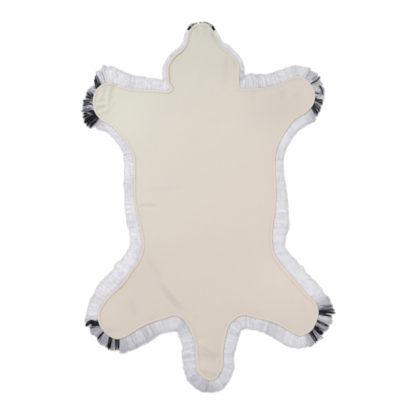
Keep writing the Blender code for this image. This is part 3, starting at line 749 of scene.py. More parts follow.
def cream_cloth(settings):
    """Plain-weave polyester-cotton, unbleached and matt. The eye gets a level cream with
    a faint yarn structure, a dry soft sheen at low angles and a slightly darker line,
    the furrow's painted shadow, where the topstitch pulls it down. Painted shade also
    darkens it at the head, the tail, in its creases and between its yarns, and a
    painted highlight pales its turned edge."""
    material, tree, shader = new_material("unbleached_plain_weave_cloth")
    place = add_node(tree, "TexCoord", out="Object")
    split = add_node(tree, "SeparateXYZ", {"Vector": place}, out=None)
    # The cloth is drawn a little yellower towards the head and the left, and rosier
    # towards the tail and the right.
    wander = add_node(tree, "TexNoise", {"Vector": place, "Scale": 3.0, "Detail": 1.0}, "Fac")
    height = add_node(tree, "Math", {0: wander, 1: 0.22, 2: split["Y"]}, operation="MULTIPLY_ADD")
    slant = add_node(tree, "Math", {0: split["X"], 1: -0.85, 2: height}, operation="MULTIPLY_ADD")
    hue = add_node(tree, "MapRange", {"Value": slant, "From Min": -0.3, "From Max": 0.55})
    creams = ((0.45, settings.rosy), (1.0, settings.yellow))
    tint = add_node(tree, "ValToRGB", {"Fac": hue}, stops=creams)
    # Painted shade: the cloth is drawn a little darker at the head and the tail, where less light
    # reaches it.
    share = add_node(tree, "MapRange", {"Value": split["Y"], "From Min": -0.46, "From Max": 0.48})
    tail, middle, head = (0.90, 0.93, 0.965), (1.0, 1.0), (0.955, 0.91)
    painted_shade_stops = zip((0.0, 0.15, 0.3, 0.5, 0.7, 0.82, 1.0), (*tail, *middle, *head))
    left = add_node(tree, "ValToRGB", {"Fac": share}, stops=[(at, grey(v)) for at, v in painted_shade_stops])
    tint = add_node(tree, "VectorMath", {0: tint, 1: left}, operation="MULTIPLY")
    # Painted light and shade: this attribute darkens the cloth in its creases, and greys or pales
    # it in places as the light falls.
    painted_light = add_node(tree, "Attribute", out="Fac", attribute_name="painted_light_and_shade")
    tint = add_node(tree, "VectorMath", {0: tint, "Scale": painted_light}, operation="SCALE")
    # Yarns are 0.5 mm apart in the real cloth. They are drawn 1.3 mm apart, as coarse as
    # they need to be to show.
    yarns = {"Vector": place, "Scale": 0.5 / (1.3 * MM) / math.pi, "Distortion": 0.6}
    yarns |= {"Detail": 1.0, "Detail Scale": 0.6}
    warp, weft = (add_node(tree, "TexWave", yarns, "Fac", bands_direction=k) for k in "XY")
    weave = add_node(tree, "Math", {0: warp, 1: weft}, operation="MAXIMUM")
    # Thick places in the yarn, about 25 mm long.
    stretched = add_node(tree, "Mapping", {"Vector": place, "Scale": (400.0, 40.0, 40.0)})
    slubs = add_node(tree, "TexNoise", {"Vector": stretched, "Scale": 1.0, "Detail": 2.0}, "Fac")
    thick = add_node(tree, "MapRange", {"Value": slubs, "To Min": 0.975, "To Max": 1.02})
    # Painted shade: the weave is drawn a little darker between the yarns. The slubs vary the
    # yarn's own colour.
    woven = add_node(tree, "MapRange", {"Value": weave, "To Min": 0.975, "To Max": 1.015})
    both = add_node(tree, "Math", {0: thick, 1: woven}, operation="MULTIPLY")
    toned = add_node(tree, "VectorMath", {0: tint, "Scale": both}, operation="SCALE")
    # The turned edge is four layers thick. It is drawn paler, a painted highlight where it stands
    # out, and the furrow of the stitch is drawn tan, its painted shadow.
    hem = add_node(tree, "Attribute", out="Fac", attribute_name="hem")
    furrow = add_node(tree, "Attribute", out="Fac", attribute_name="furrow")
    highlit_hem = add_node(tree, "Mix", {0: hem, 6: toned, 7: settings.hem}, 2, data_type="RGBA")
    furrow_shade = add_node(tree, "Mix", {0: furrow, 6: highlit_hem, 7: settings.furrow}, 2, data_type="RGBA")
    bump = add_node(tree, "Bump", {"Height": weave, "Strength": 0.35, "Distance": 0.12 * MM})
    plug(tree, shader, {"Base Color": furrow_shade, "Normal": bump, "Roughness": 0.88})
    plug(tree, shader, {"Specular IOR Level": 0.3, "Sheen Weight": 0.12, "Sheen Roughness": 0.6})
    return material


def sewing_thread(settings):
    """Spun polyester sewing thread: a pale tan with a soft gloss and a visible twist."""
    material, tree, shader = new_material("spun_polyester_thread")
    place = add_node(tree, "TexCoord", out="Object")
    # The twist is 0.9 mm to a turn.
    turns = {"Vector": place, "Scale": 0.5 / (0.9 * MM) / math.pi, "Distortion": 1.0}
    twist = add_node(tree, "TexWave", turns, "Fac", bands_direction="DIAGONAL")
    # The twist is drawn darker between the turns, as painted shade, and paler on them, as a
    # painted highlight.
    thread_light_and_shade = ((0.0, settings.thread_shaded), (1.0, settings.thread_lit))
    tint = add_node(tree, "ValToRGB", {"Fac": twist}, stops=thread_light_and_shade)
    bump = add_node(tree, "Bump", {"Height": twist, "Strength": 0.4, "Distance": 0.08 * MM})
    plug(tree, shader, {"Base Color": tint, "Normal": bump, "Roughness": 0.6})
    return material


def pile_fibre(name, stops, root_shade, gloss):
    """Modacrylic pile, brushed and sheared. Each tuft has a tone of its own, so the eye
    gets streaks that run out from the hem, with the soft gloss of a fine straight fibre.
    Painted shade darkens each tuft towards its root, and painted light brightens its tip."""
    material, tree, shader = new_material(name)
    tone = add_node(tree, "Attribute", out="Fac", attribute_name="tone")
    out = add_node(tree, "Attribute", out="Fac", attribute_name="out")
    tint = add_node(tree, "ValToRGB", {"Fac": tone}, stops=stops)
    # Painted shade and light: each tuft is drawn darker at its root and brighter at its tip.
    shade = add_node(tree, "MapRange", {"Value": out, "To Min": root_shade, "To Max": 1.13})
    shaded = add_node(tree, "VectorMath", {0: tint, "Scale": shade}, operation="SCALE")
    plug(tree, shader, {"Base Color": shaded, "Roughness": 0.6, "Specular IOR Level": gloss})
    plug(tree, shader, {"Sheen Weight": 0.25 * gloss, "Sheen Roughness": 0.4})
    return material


def pile_mass(name, low, high):
    """The dense inner mass of the pile, seen between tufts and from beneath: fibres
    lying side by side, drawn as combed streaks 2 mm apart."""
    material, tree, shader = new_material(name)
    place = add_node(tree, "TexCoord", out="Object")
    stretched = add_node(tree, "Mapping", {"Vector": place, "Scale": (500.0, 70.0, 300.0)})
    combed = {"Vector": stretched, "Scale": 1.0, "Detail": 3.0, "Distortion": 0.4}
    streaks = add_node(tree, "TexNoise", combed, "Fac")
    # Painted shade: the streaks are drawn darker where their bump sinks.
    shades = ((0.3, linear(low)), (0.7, linear(high)))
    tint = add_node(tree, "ValToRGB", {"Fac": streaks}, stops=shades)
    bump = add_node(tree, "Bump", {"Height": streaks, "Strength": 0.6, "Distance": 0.8 * MM})
    plug(tree, shader, {"Base Color": tint, "Normal": bump})
    plug(tree, shader, {"Roughness": 0.75, "Specular IOR Level": 0.3})
    return material


PLAIN_TONE = 0.6  # of white pile with no black near it


@functools.cache
def finishes():
    """The pile's materials, made once: white and black, tufts and dense mass."""
    settings = bpy.context.scene.rug_pile
    white = ((0.0, settings.shaded), (PLAIN_TONE, settings.white), (1.0, settings.bright))
    black = ((0.45, settings.black), (1.0, settings.ash))
    return {
        # root_shade is painted shade at the tufts' roots, deeper for the head's short pile.
        "white": pile_fibre("white_modacrylic_pile", white, 0.93, 0.35),
        "short": pile_fibre("sheared_white_modacrylic_pile", white, 0.89, 0.35),
        "black": pile_fibre("black_modacrylic_pile", black, 0.9, 0.15),
        # The white mass is drawn greyer than the white tufts: painted shade of the deep pile
        # between and under them.
        "white_mass": pile_mass("white_modacrylic_mass", "#CFCED3", "#DFDEE2"),
        "black_mass": pile_mass("black_modacrylic_mass", "#121218", "#26262F"),
    }


# ---------------------------------------------------------------- backing


HEM_ROUNDING = 1.0 * MM  # of the cloth's outer corner
HEM_SWELL = 0.6 * MM  # of the turned edge, between its corner and the stitch
HEM_STEP = 1.6 * MM  # over which the turned edge comes down to the plain cloth
FURROW_DEPTH = 0.8 * MM  # at the stitch
PUCKER_WIDTH = 11 * MM  # how far in the stitching makes the cloth wavy
PUCKER = ((0.45 * MM, 24 * MM, 3.3), (0.3 * MM, 9 * MM, 8.1))


def hem_width(points, settings):
    return settings.hem_width * shares(points, HEM_WIDTH)


def hem_height(points, depth, settings):
    """The cloth's upper side above its lower one, by the distance in from the edge: the
    turned edge, rounded outside, the furrow of the topstitch, and the plain cloth."""
    share = shares(points, HEM_RELIEF)
    hem, thick = hem_width(points, settings), settings.thickness
    curl = np.clip(1.0 - depth / HEM_ROUNDING, 0.0, 1.0)
    turned = (thick + share * settings.hem_height) * (0.7 + 0.3 * np.sqrt(1.0 - curl * curl))
    swell = HEM_SWELL * share * np.sin(math.pi * np.clip(depth / hem, 0.0, 1.0))
    step = smooth_step((depth - hem) / HEM_STEP)
    width = (0.5 + 0.45 * share) * MM
    furrow = FURROW_DEPTH * share * np.exp(-(((depth - hem) / width) ** 2))
    return (turned + swell) * (1.0 - step) + thick * step - furrow


def cloth_top(points, depth, settings):
    """How high the cloth's upper side lies, with its folds, its drape and the waviness
    that the stitching gives to the hem."""
    pucker = smooth_step(1.0 - depth / PUCKER_WIDTH) * wavy(points, PUCKER)
    lift = folded(points) + drape(points) + pucker
    return ground()(points) + hem_height(points, depth, settings) + lift


def copies(count, per, *kinds):
    """The faces of many like pieces, each with so many points, for each size of face."""
    starts = per * np.arange(count)[:, None, None]
    return [(starts + np.array(some)[None]).reshape(-1, len(some[0])) for some in kinds]


class RUG_OT_backing(bpy.types.Operator):
    """Add the backing cloth with its turned edge, and the topstitch on it"""

    bl_idname = "rug.backing"
    bl_label = "Backing and topstitch"

    # Rows of points along the hem, by their distance in from the edge in hem widths.
    ROWS = (0.04, 0.11, 0.23, 0.4, 0.6, 0.78, 0.89, 1.0, 1.11, 1.25, 1.48, 1.8)
    TOP_GRID = (3.4 * MM, 15.5 * MM)  # its step, and how far in from the edge it starts
    FLOOR_GRID = (5 * MM, 6 * MM)
    # Painted shade in pressed creases, darker the deeper they are.
    CREASE_SHADE = 14.0  # share of light that a pressed crease loses for each metre of its depth

    def execute(self, context):
        settings = context.scene.rug_backing
        edge = rug_edge()
        ahead = unit(np.roll(edge, -1, axis=0) - np.roll(edge, 1, axis=0))
        inward = np.column_stack([ahead[:, 1], -ahead[:, 0]])
        width = hem_width(edge, settings)
        rings = []
        for share in self.ROWS:
            ring = edge + (share * width)[:, None] * inward
            rings.append(ring[inside_by(ring, edge) > 0.97 * share * width])
        top = np.vstack([*rings, grid_inside(edge, *self.TOP_GRID)])
        depth = inside_by(top, edge)
        top_height = cloth_top(top, depth, settings)
        rim_floor = ground()(edge) + wavy(edge, PUCKER[:1])
        rim_top = rim_floor + 0.65 * (settings.thickness + settings.hem_height)
        floor = grid_inside(edge, *self.FLOOR_GRID)
        places, faces, upper = slab(edge, rim_top, rim_floor, top, top_height, floor, bed(floor))
        deep = np.zeros(len(places))
        deep[len(edge) : upper] = depth
        share = shares(places, HEM_RELIEF)
        hem_end = hem_width(places, settings)
        # Painted highlight on the turned edge, the stronger the more it stands out.
        hem = 0.25 * share * smooth_step((hem_end - deep) / (0.8 * MM))
        # Painted shadow along the topstitch's furrow.
        furrow_shade = 0.2 * share * shares(places, FURROW_SHADE)
        furrow = furrow_shade * np.exp(-(((deep - hem_end) / ((0.8 + 0.5 * share) * MM)) ** 2))
        # Painted shade: the cloth is drawn darker in the troughs of its folds.
        creased = 1.0 + self.CREASE_SHADE * np.minimum(folded(places[:, :2]), 0.0)
        # The painted light and shade of the places and of the creases, together.
        painted_light = shares(places, CLOTH_LIGHT_AND_SHADE) ** 2.2 * creased
        numbers = (("hem", hem), ("furrow", furrow), ("painted_light_and_shade", painted_light))
        uv = flat_uv(places, faces, upper)
        cloth = add_piece("backing_cloth", places, faces, cream_cloth(settings), uv, numbers)
        settle(cloth, "cream_cloth", "backing")
        line = evenly(edge + hem_end[: len(edge), None] * inward, settings.stitch)
        stitches = settle(self.stitches(line, settings), "cream_cloth")
        ahead = np.roll(edge, -1, axis=0)
        return {"FINISHED"}

    SIDES = 6  # of a stitch
    # Along a stitch, its width there, and its height over the cloth in millimetres.
    BEAD = ((0.1, 0.75, 0.1), (0.3, 1.0, 0.35), (0.7, 1.0, 0.35), (0.9, 0.75, 0.1))

    def stitches(self, line, settings):
        """The topstitch: a bead of thread for each stitch, its ends down in the holes."""
        after = np.roll(line, -1, axis=0)
        run = unit(after - line)
        side = np.column_stack([-run[:, 1], run[:, 0], np.zeros(len(run))])
        length = 0.84 * settings.stitch
        surface = cloth_top(line, hem_width(line, settings), settings)
        first = line + 0.5 * (after - line) - 0.5 * length * run
        sides, rings = self.SIDES, len(self.BEAD)
        per = 2 + sides * rings
        places = np.empty((len(line), per, 3))
        places[:, 0] = np.column_stack([first, surface - 0.25 * MM])
        places[:, 1] = np.column_stack([first + length * run, surface - 0.25 * MM])
        for number, (at, wide, high) in enumerate(self.BEAD):
            middle = np.column_stack([first + at * length * run, surface + high * MM])
            radius = 0.5 * settings.thread * wide
            for k in range(sides):
                turn = 2.0 * math.pi * k / sides
                off = radius * (math.cos(turn) * side + math.sin(turn) * UP)
                places[:, 2 + number * sides + k] = middle + off
        ends, quads = [], []
        last = 2 + (rings - 1) * sides
        for k in range(sides):
            turned = (k + 1) % sides
            ends += [(0, 2 + turned, 2 + k), (1, last + k, last + turned)]
            for low in range(2, last, sides):
                high = low + sides
                quads.append((low + k, low + turned, high + turned, high + k))
        faces = copies(len(line), per, ends, quads)
        u = np.tile(np.linspace(0.0, 1.0, per), len(line))
        v = np.repeat(np.arange(len(line)) / len(line), per)
        corners = np.concatenate([some.ravel() for some in faces])
        uv = np.column_stack([u[corners], v[corners] + 0.3 / len(line) * (corners % 2)])
        return add_piece("topstitch", places.reshape(-1, 3), faces, sewing_thread(settings), uv)


# ---------------------------------------------------------------- pile: the dense mass


def tip_line(run, share):
    """Where the pile's dense mass ends, at a share of its reach."""
    clipped = np.minimum(shares(run.points + run.reach[:, None] * run.lean, PILE_LENGTH), 1.0)
    return run.points + (share * clipped * run.reach)[:, None] * run.lean


def thinned(line, step):
    """The line's points less those that follow the one before within a step."""
    kept = [line[0]]
    for point in line[1:]:
        if math.dist(point, kept[-1]) > step:
            kept.append(point)
    return np.array(kept)


def between(line, low, high):
    """The line closed into an outline, cut straight across at low and at high."""
    line = thinned(line, 3 * MM)
    line = line[(line[:, 1] > low) & (line[:, 1] < high)]
    closed = np.vstack([line, line[:1]])
    pieces = []
    for here, there in zip(closed, closed[1:]):
        count = max(1, round(math.dist(here, there) / (5 * MM)))
        pieces.append(here + (there - here) * np.arange(count)[:, None] / count)
    outline = np.vstack(pieces)
    outline[:, 1] = np.maximum(outline[:, 1], low)
    return outline


class RUG_OT_pile_mass(bpy.types.Operator):
    """Add the dense inner mass of the long, the short and the black pile"""

    bl_idname = "rug.pile_mass"
    bl_label = "Pile mass"

    GAP = 0.25 * MM  # on each side of the line where two sorts of pile meet
    CLEAR = 1.0 * MM  # between the mass and the cloth's lower side
    RIM = 1.4 * MM  # height of the mass at its own edge
    TOP_GRID = (7 * MM, 2.5 * MM)  # its step, and how far in from the edge it starts
    FLOOR_GRID = (6 * MM, 3 * MM)

    def execute(self, context):
        share = context.scene.rug_pile.bed
        stretch = runs()
        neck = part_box("head_pile")[0].y
        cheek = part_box("muzzle_pile")[0].y + MUZZLE_START * MM
        sides = [tip_line(stretch[name], share) for name in ("head_right", "head_left")]
        body = between(tip_line(stretch["body"], share), -math.inf, neck - self.GAP)
        head = between(np.vstack(sides), neck + self.GAP, cheek - self.GAP)
        muzzle = between(tip_line(stretch["muzzle"], 0.5), cheek + self.GAP, math.inf)
        white, black = finishes()["white_mass"], finishes()["black_mass"]
        self.mass("long_pile", body, 24 * MM, white, "long_white_pile", "body_pile")
        self.mass("head_pile_mass", head, 8 * MM, white, "short_white_pile", "head_pile")
        self.mass("muzzle_pile_mass", muzzle, 4 * MM, black, "short_black_pile", "muzzle_pile")
        return {"FINISHED"}

    def mass(self, name, outline, slope, material, slot_name, node):
        """Under the cloth the mass carries it, and outside it rounds off to the floor,
        over the width of its slope."""

        def upper(points):
            under = bed(points) - self.CLEAR + 0.5 * np.minimum(folded(points), 0.0)
            near = np.clip(inside_by(points, outline) / slope, 0.0, 1.0)
            fall = np.sqrt(np.clip(1.0 - (1.0 - near) ** 2, 0.0, 1.0))
            outside = self.RIM + 0.6 * under * fall
            blend = smooth_step((inside_by(points, rug_edge()) + 1 * MM) / (5 * MM))
            return under * blend + np.minimum(outside, under) * (1.0 - blend)

        top = grid_inside(outline, *self.TOP_GRID)
        floor = grid_inside(outline, *self.FLOOR_GRID)
        # Underneath, the pile lies in combed locks, 9 mm wide and 42 mm long, pressed level
        # by the rug's weight.
        turned = floor @ np.array([[1.0, 0.25], [-0.25, 1.0]]) / (9 * MM, 42 * MM)
        combed = 2.4 * MM * np.clip(uneven(turned, 1.0, 2.2) + 0.35, 0.0, 1.0)
        depth = combed + 2.0 * MM * np.clip(uneven(floor, 48 * MM, 6.4), 0.0, 1.0)
        fade = smooth_step(inside_by(floor, outline) / (10 * MM))
        floor_height = np.minimum(depth, 0.3 * ground()(floor)) * fade
        rim_top = np.maximum(upper(outline), 1.2 * MM)
        rim_floor = np.zeros(len(outline))
        places, faces, count = slab(
            outline, rim_top, rim_floor, top, upper(top), floor, floor_height
        )
        piece = add_piece(name, places, faces, material, flat_uv(places, faces, count))
        return settle(piece, slot_name, node)


# ---------------------------------------------------------------- pile: tufts

# A pile's tufts: where each starts, bends and ends, its radius and its tone, from 0,
# which is dark, to 1.
Pile = namedtuple("Pile", "roots bends tips radius tone")
SIDES = 3
RINGS = ((0.0, 0.9), (0.42, 1.05), (0.8, 0.8))  # along a tuft, and its width there
PER_TUFT = SIDES * len(RINGS) + 1
LOWEST = 0.15 * MM  # that a tuft comes to the floor


def add_tufts(name, pile, look, slot_name, width=1.0, tone=1.0):
    """Thin three-sided tufts, each on a curve from its root to its pointed tip. width and
    tone are what the pile's own are multiplied by."""
    roots, bends, tips = pile[:3]
    radius, tone = width * pile.radius, tone * pile.tone
    count = len(roots)
    places = np.empty((count, PER_TUFT, 3))
    normals = np.empty((count, PER_TUFT, 3))
    out = np.empty((count, PER_TUFT))
    for number, (t, wide) in enumerate(RINGS):
        middle = (1 - t) ** 2 * roots + 2 * t * (1 - t) * bends + t * t * tips
        run = unit(2 * (1 - t) * (bends - roots) + 2 * t * (tips - bends))
        side = unit(np.cross(run, UP))
        over = np.cross(side, run)
        for k in range(SIDES):
            turn = 2.0 * math.pi * (k + 0.25) / SIDES
            off = math.cos(turn) * side + math.sin(turn) * over
            places[:, number * SIDES + k] = middle + (radius * wide)[:, None] * off
            # A tuft is many fine fibres, so its upper side shines as the pile's does.
            shown = unit(0.4 * off + 0.4 * over + 0.4 * UP)
            normals[:, number * SIDES + k] = shown if math.sin(turn) > 0 else off
            out[:, number * SIDES + k] = t
    normals[:, -1] = unit(over + UP)
    places[:, -1] = tips
    out[:, -1] = 1.0
    places[..., 2] = np.maximum(places[..., 2], LOWEST)
    tip = PER_TUFT - 1
    last = tip - SIDES
    ends, quads = [(0, 1, 2)], []
    end_u, quad_u = [(0.0, 0.0, 0.0)], []
    for k in range(SIDES):
        after = (k + 1) % SIDES
        ends.append((last + k, tip, last + after))
        end_u.append((k, k + 0.5, k + 1))
        for low in range(0, last, SIDES):
            high = low + SIDES
            quads.append((low + k, high + k, high + after, low + after))
            quad_u.append((k, k, k + 1, k + 1))
    faces = copies(count, PER_TUFT, ends, quads)
    # On the map every tuft is a strip, and strips of like tone lie together.
    rank = np.empty(count)
    rank[np.argsort(tone, kind="stable")] = np.arange(count) / count
    strips = []
    for some, across in zip(faces, (end_u, quad_u)):
        across = np.tile(np.array(across, float).ravel(), count)
        corner = some.ravel()
        u = 0.004 + 0.985 * rank[corner // PER_TUFT] + 0.002 * across
        strips.append(np.column_stack([u, 0.01 + 0.98 * out.ravel()[corner]]))
    numbers = (("tone", np.repeat(tone, PER_TUFT)), ("out", out.ravel()))
    uv = np.vstack(strips)
    piece = add_piece(name, places.reshape(-1, 3), faces, finishes()[look], uv, numbers)
    piece.data.normals_split_custom_set_from_vertices(normals.reshape(-1, 3))
    return settle(piece, slot_name)


RAGGED_NEAR = 16 * MM  # from a stripe's middle, and as far again it fades


def raggedness(points):
    """From 0, smooth, to 1, wispy, as the pile is beside its black stripes."""
    middles = [((wisp.x0 + wisp.x1) / 2 * MM, (wisp.y0 + wisp.y1) / 2 * MM) for wisp in WISPS]
    gap = np.linalg.norm(points[:, None] - np.array(middles)[None], axis=-1).min(1)
    return 1.0 - smooth_step((gap - RAGGED_NEAR) / RAGGED_NEAR)


LOCK_WIDTHS = (0.55, 1.5)  # of the narrowest and the widest lock, in mean widths
STRAND = 2.6 * MM  # mean width of the strands that a lock is made of
LOCK_TURN, TUFT_TURN, STRAND_TURN = 0.03, 0.06, 0.1  # to both sides, in radians
LONG_WAVES = ((0.04, 7 * MM), (0.07, 21 * MM))  # of the pile's length, along the edge


def grow(run, count, lock, rng, length=(0.9, 1.1), inset=11 * MM, rise=4.4 * MM):
    """Tufts along a stretch of the edge, gathered into strands and into locks. They start
    up to inset behind the edge and bend up by up to rise."""
    root_place = along(run.points)
    tip_place = along(run.points + run.reach[:, None] * run.lean)
    place = 0.5 * (root_place + tip_place)
    total = place[-1]
    at = (np.arange(count) + rng.random(count)) * total / count
    widths = rng.uniform(*LOCK_WIDTHS, max(2, round(total / lock)))
    ends = np.concatenate([[0.0], np.cumsum(widths)]) * total / widths.sum()
    in_lock = np.clip(np.searchsorted(ends, at, side="right") - 1, 0, len(widths) - 1)
    half = 0.5 * (ends[in_lock + 1] - ends[in_lock])
    middle = ends[in_lock] + half
    aside = (at - middle) / half
    strand_ends = np.sort(rng.random(round(total / STRAND))) * total
    in_strand = np.searchsorted(strand_ends, at)
    locks, strands = len(widths), len(strand_ends) + 1

    def each(values, where):
        return np.column_stack([np.interp(where, place, some) for some in values.T])

    def swing(groups, which=slice(None)):
        """A number from -1 to 1 for each group, given to its tufts."""
        return rng.uniform(-1, 1, groups)[which]

    point = each(run.points, at)
    lean = unit(each(run.lean, at))
    lock_lean = unit(each(run.lean, middle))
    reach = np.interp(at, place, run.reach)
    reach = reach * shares(point + reach[:, None] * lean, PILE_LENGTH)
    wispy = raggedness(point + 0.5 * reach[:, None] * lean)
    turn = rng.normal(0.0, LOCK_TURN, locks)[in_lock] + rng.normal(0.0, TUFT_TURN, count)
    turn += wispy * rng.normal(0.0, STRAND_TURN, strands)[in_strand]
    lean = unit(0.7 * lean + 0.3 * lock_lean)
    across = np.column_stack([-lean[:, 1], lean[:, 0]])
    aim = unit(lean + turn[:, None] * across)
    depth = inset * rng.random(count)
    layer = rng.random(count) ** 0.8  # 1 is the uppermost
    long = 1.0 + 0.03 * swing(locks, in_lock) - 0.03 * np.abs(aside) ** 1.6
    for height, wave in LONG_WAVES:
        long += height * uneven(np.column_stack([at, 0.0 * at]), wave, rng.random())
    long *= rng.uniform(*length, count) * (0.97 + 0.03 * layer)
    long *= 1.0 + (0.02 + 0.1 * wispy) * swing(strands, in_strand)
    gather = -(0.08 + 0.2 * wispy) * aside * half
    root = point - depth[:, None] * lean
    # The topstitch pulls the pile down with the cloth where it is tight.
    pulled = np.clip(shares(root, HEM_RELIEF) - 1.0, 0.0, 1.0) * MM
    top = np.minimum(bed(root), bed(point)) - pulled - 0.4 * MM
    tip = point + (reach * long)[:, None] * aim + gather[:, None] * across
    root_z = top * (0.45 + 0.51 * layer)
    tip_z = (0.6 + (1.6 + 2.4 * rng.random(count)) * layer) * MM
    bend = 0.6 * root + 0.4 * tip + rng.normal(0.0, 0.8 * MM, count)[:, None] * across
    # Each tuft's tone carries painted light and shade, and the grey of black fibres near the
    # stripes.
    white = PLAIN_TONE * shares(point + 0.5 * reach[:, None] * lean, PILE_GREY_AND_SHADE)
    grey_and_shade = np.clip(PLAIN_TONE - white, 0.0, 0.3)
    tone = 0.03 * swing(locks, in_lock)
    tone += 0.07 * swing(strands, in_strand) + 0.2 * swing(count)
    tone = white - 0.15 * wispy + (0.35 + 2.0 * grey_and_shade) * tone
    # Where the white runs out into grey, it is the greyer tufts that reach far, so the pile's
    # outer rim is greyer: by the stripes with black fibres, elsewhere as painted shade.
    tip -= (1.2 * grey_and_shade * (tone - white) * reach)[:, None] * aim
    return Pile(
        np.column_stack([root, root_z]),
        np.column_stack([bend, root_z + rise * layer]),
        np.column_stack([tip, tip_z]),
        rng.uniform(0.75, 1.15, count),
        np.clip(tone, 0.0, 1.0),
    )


def picked(pile, which):
    return Pile(*(values[which] for values in pile))


def joined(piles):
    return Pile(*(np.concatenate(values) for values in zip(*piles)))


def line_of(wisp):
    """A wisp's start, its run from there to its tips, its length and the way across it."""
    start = np.array([wisp.x0, wisp.y0]) * MM
    run = np.array([wisp.x1, wisp.y1]) * MM - start
    length = np.hypot(*run)
    return start, run, length, np.array([-run[1], run[0]]) / length


def outside_wisps(pile, rng):
    """Which tufts grow outside the black wisps."""
    keep = np.ones(len(pile.roots), bool)
    for wisp in WISPS:
        start, run, length, across = line_of(wisp)
        for points in (pile.bends, 0.5 * (pile.bends + pile.tips), pile.tips):
            offset = points[:, :2] - start
            part = offset @ run / length**2
            bowed = wisp.bow * MM * np.sin(math.pi * np.clip(part, 0.0, 1.0))
            half = 0.5 * (wisp.root + (wisp.tip - wisp.root) * part) * MM
            near = np.abs(offset @ across - bowed) < half
            hit = near & (part > -0.3) & (part < 1.2)
            keep &= ~(hit & (rng.random(len(keep)) < min(1.0, wisp.full)))
    return keep


POINT_WIDTH = 3.5  # of the points that a wisp ends in, in millimetres
WISP_TUFTS = 27  # in each millimetre of a full wisp's width
LOOSE = 0.16  # share of black tufts that stray among the white ones


def wisp_tufts(wisps, rng, width, lift=0.0):
    """The tufts of some wisps, gathered into points. lift is how far they lie over the
    others."""
    found = []
    for wisp in wisps:
        start, run, length, across = line_of(wisp)
        ahead = run / length
        points = max(1, round(max(wisp.root, wisp.tip) / POINT_WIDTH))
        count = int(wisp.full * (wisp.root + wisp.tip) / 2 * WISP_TUFTS)
        which = rng.integers(0, points, count)
        centre = (2.0 * np.arange(points) + 1.0) / points - 1.0
        centre += rng.uniform(-0.4, 0.4, points) / points
        long = rng.uniform(0.9, 1.12, points)[which] * rng.uniform(0.72, 1.03, count)
        stray = 0.5 * wisp.fray * MM * rng.normal(0.0, 1.0, points)[which]
        within = rng.uniform(-1.0, 1.0, count)
        side = centre[which] + within / points
        loose = rng.random(count) < LOOSE
        side = np.where(loose, 1.8 * side, side)
        layer = rng.random(count)
        depth = 9 * MM * rng.random(count)
        root = start + (0.6 * wisp.root * MM * side)[:, None] * across - depth[:, None] * ahead
        closed = centre[which] + 0.8 * within / points
        closed = np.where(loose, rng.uniform(-1.7, 1.7, count), closed)
        aside = 0.6 * wisp.tip * MM * closed + stray + 0.5 * MM * rng.normal(0.0, 1.0, count)
        tip = start + (long * length)[:, None] * ahead + aside[:, None] * across
        bow = 2.0 * wisp.bow * MM + rng.normal(0.0, 0.4 * MM, count)
        bend = 0.6 * root + 0.4 * tip + bow[:, None] * across
        root_z = np.minimum(bed(root), bed(start[None])) * (0.6 + 0.38 * layer)
        tip_z = (1.2 + (1.8 + 2.6 * rng.random(count)) * layer) * MM + lift
        bend_z = root_z + (3.6 * MM + lift) * layer
        tone = 0.25 + 0.6 * wisp.grey + 0.3 * loose + rng.normal(0.0, 0.08, points)[which]
        radius = 0.5 * width * rng.uniform(0.7, 1.0, count)
        tone = np.clip(tone + rng.normal(0.0, 0.12, count), 0.0, 1.0)
        line = ((root, root_z), (bend, bend_z), (tip, tip_z))
        found.append(Pile(*(np.column_stack(some) for some in line), radius, tone))
    return joined(found)


class RUG_OT_long_pile(bpy.types.Operator):
    """Add the long white pile that comes out past the hem, and its black stripes"""

    bl_idname = "rug.long_pile"
    bl_label = "Long pile and stripes"

    PARTS = ("right_arm", "right_leg", "tail", "left_leg", "left_arm")  # clockwise

    def execute(self, context):
        settings = context.scene.rug_pile
        width = settings.width
        rng = np.random.default_rng(settings.seed)
        run = runs()["body"]
        pile = grow(run, round(settings.density * along(run.points)[-1]), settings.lock, rng)
        pile = picked(pile, outside_wisps(pile, rng))
        bounds = np.linspace(0, len(pile.roots), len(self.PARTS) + 1).astype(int)
        slot = "long_white_pile"
        pieces = [
            add_tufts(f"long_pile_{part}", picked(pile, slice(*ends)), "white", slot, 0.5 * width)
            for part, *ends in zip(self.PARTS, bounds, bounds[1:])
        ]
        black = wisp_tufts(WISPS, rng, width)
        pieces.append(add_tufts("black_stripes", black, "black", ""))
        over = wisp_tufts(OVER_WISPS, rng, width, lift=1.5 * MM)
        pieces.append(add_tufts("white_streaks", over, "white", slot))
        return {"FINISHED"}


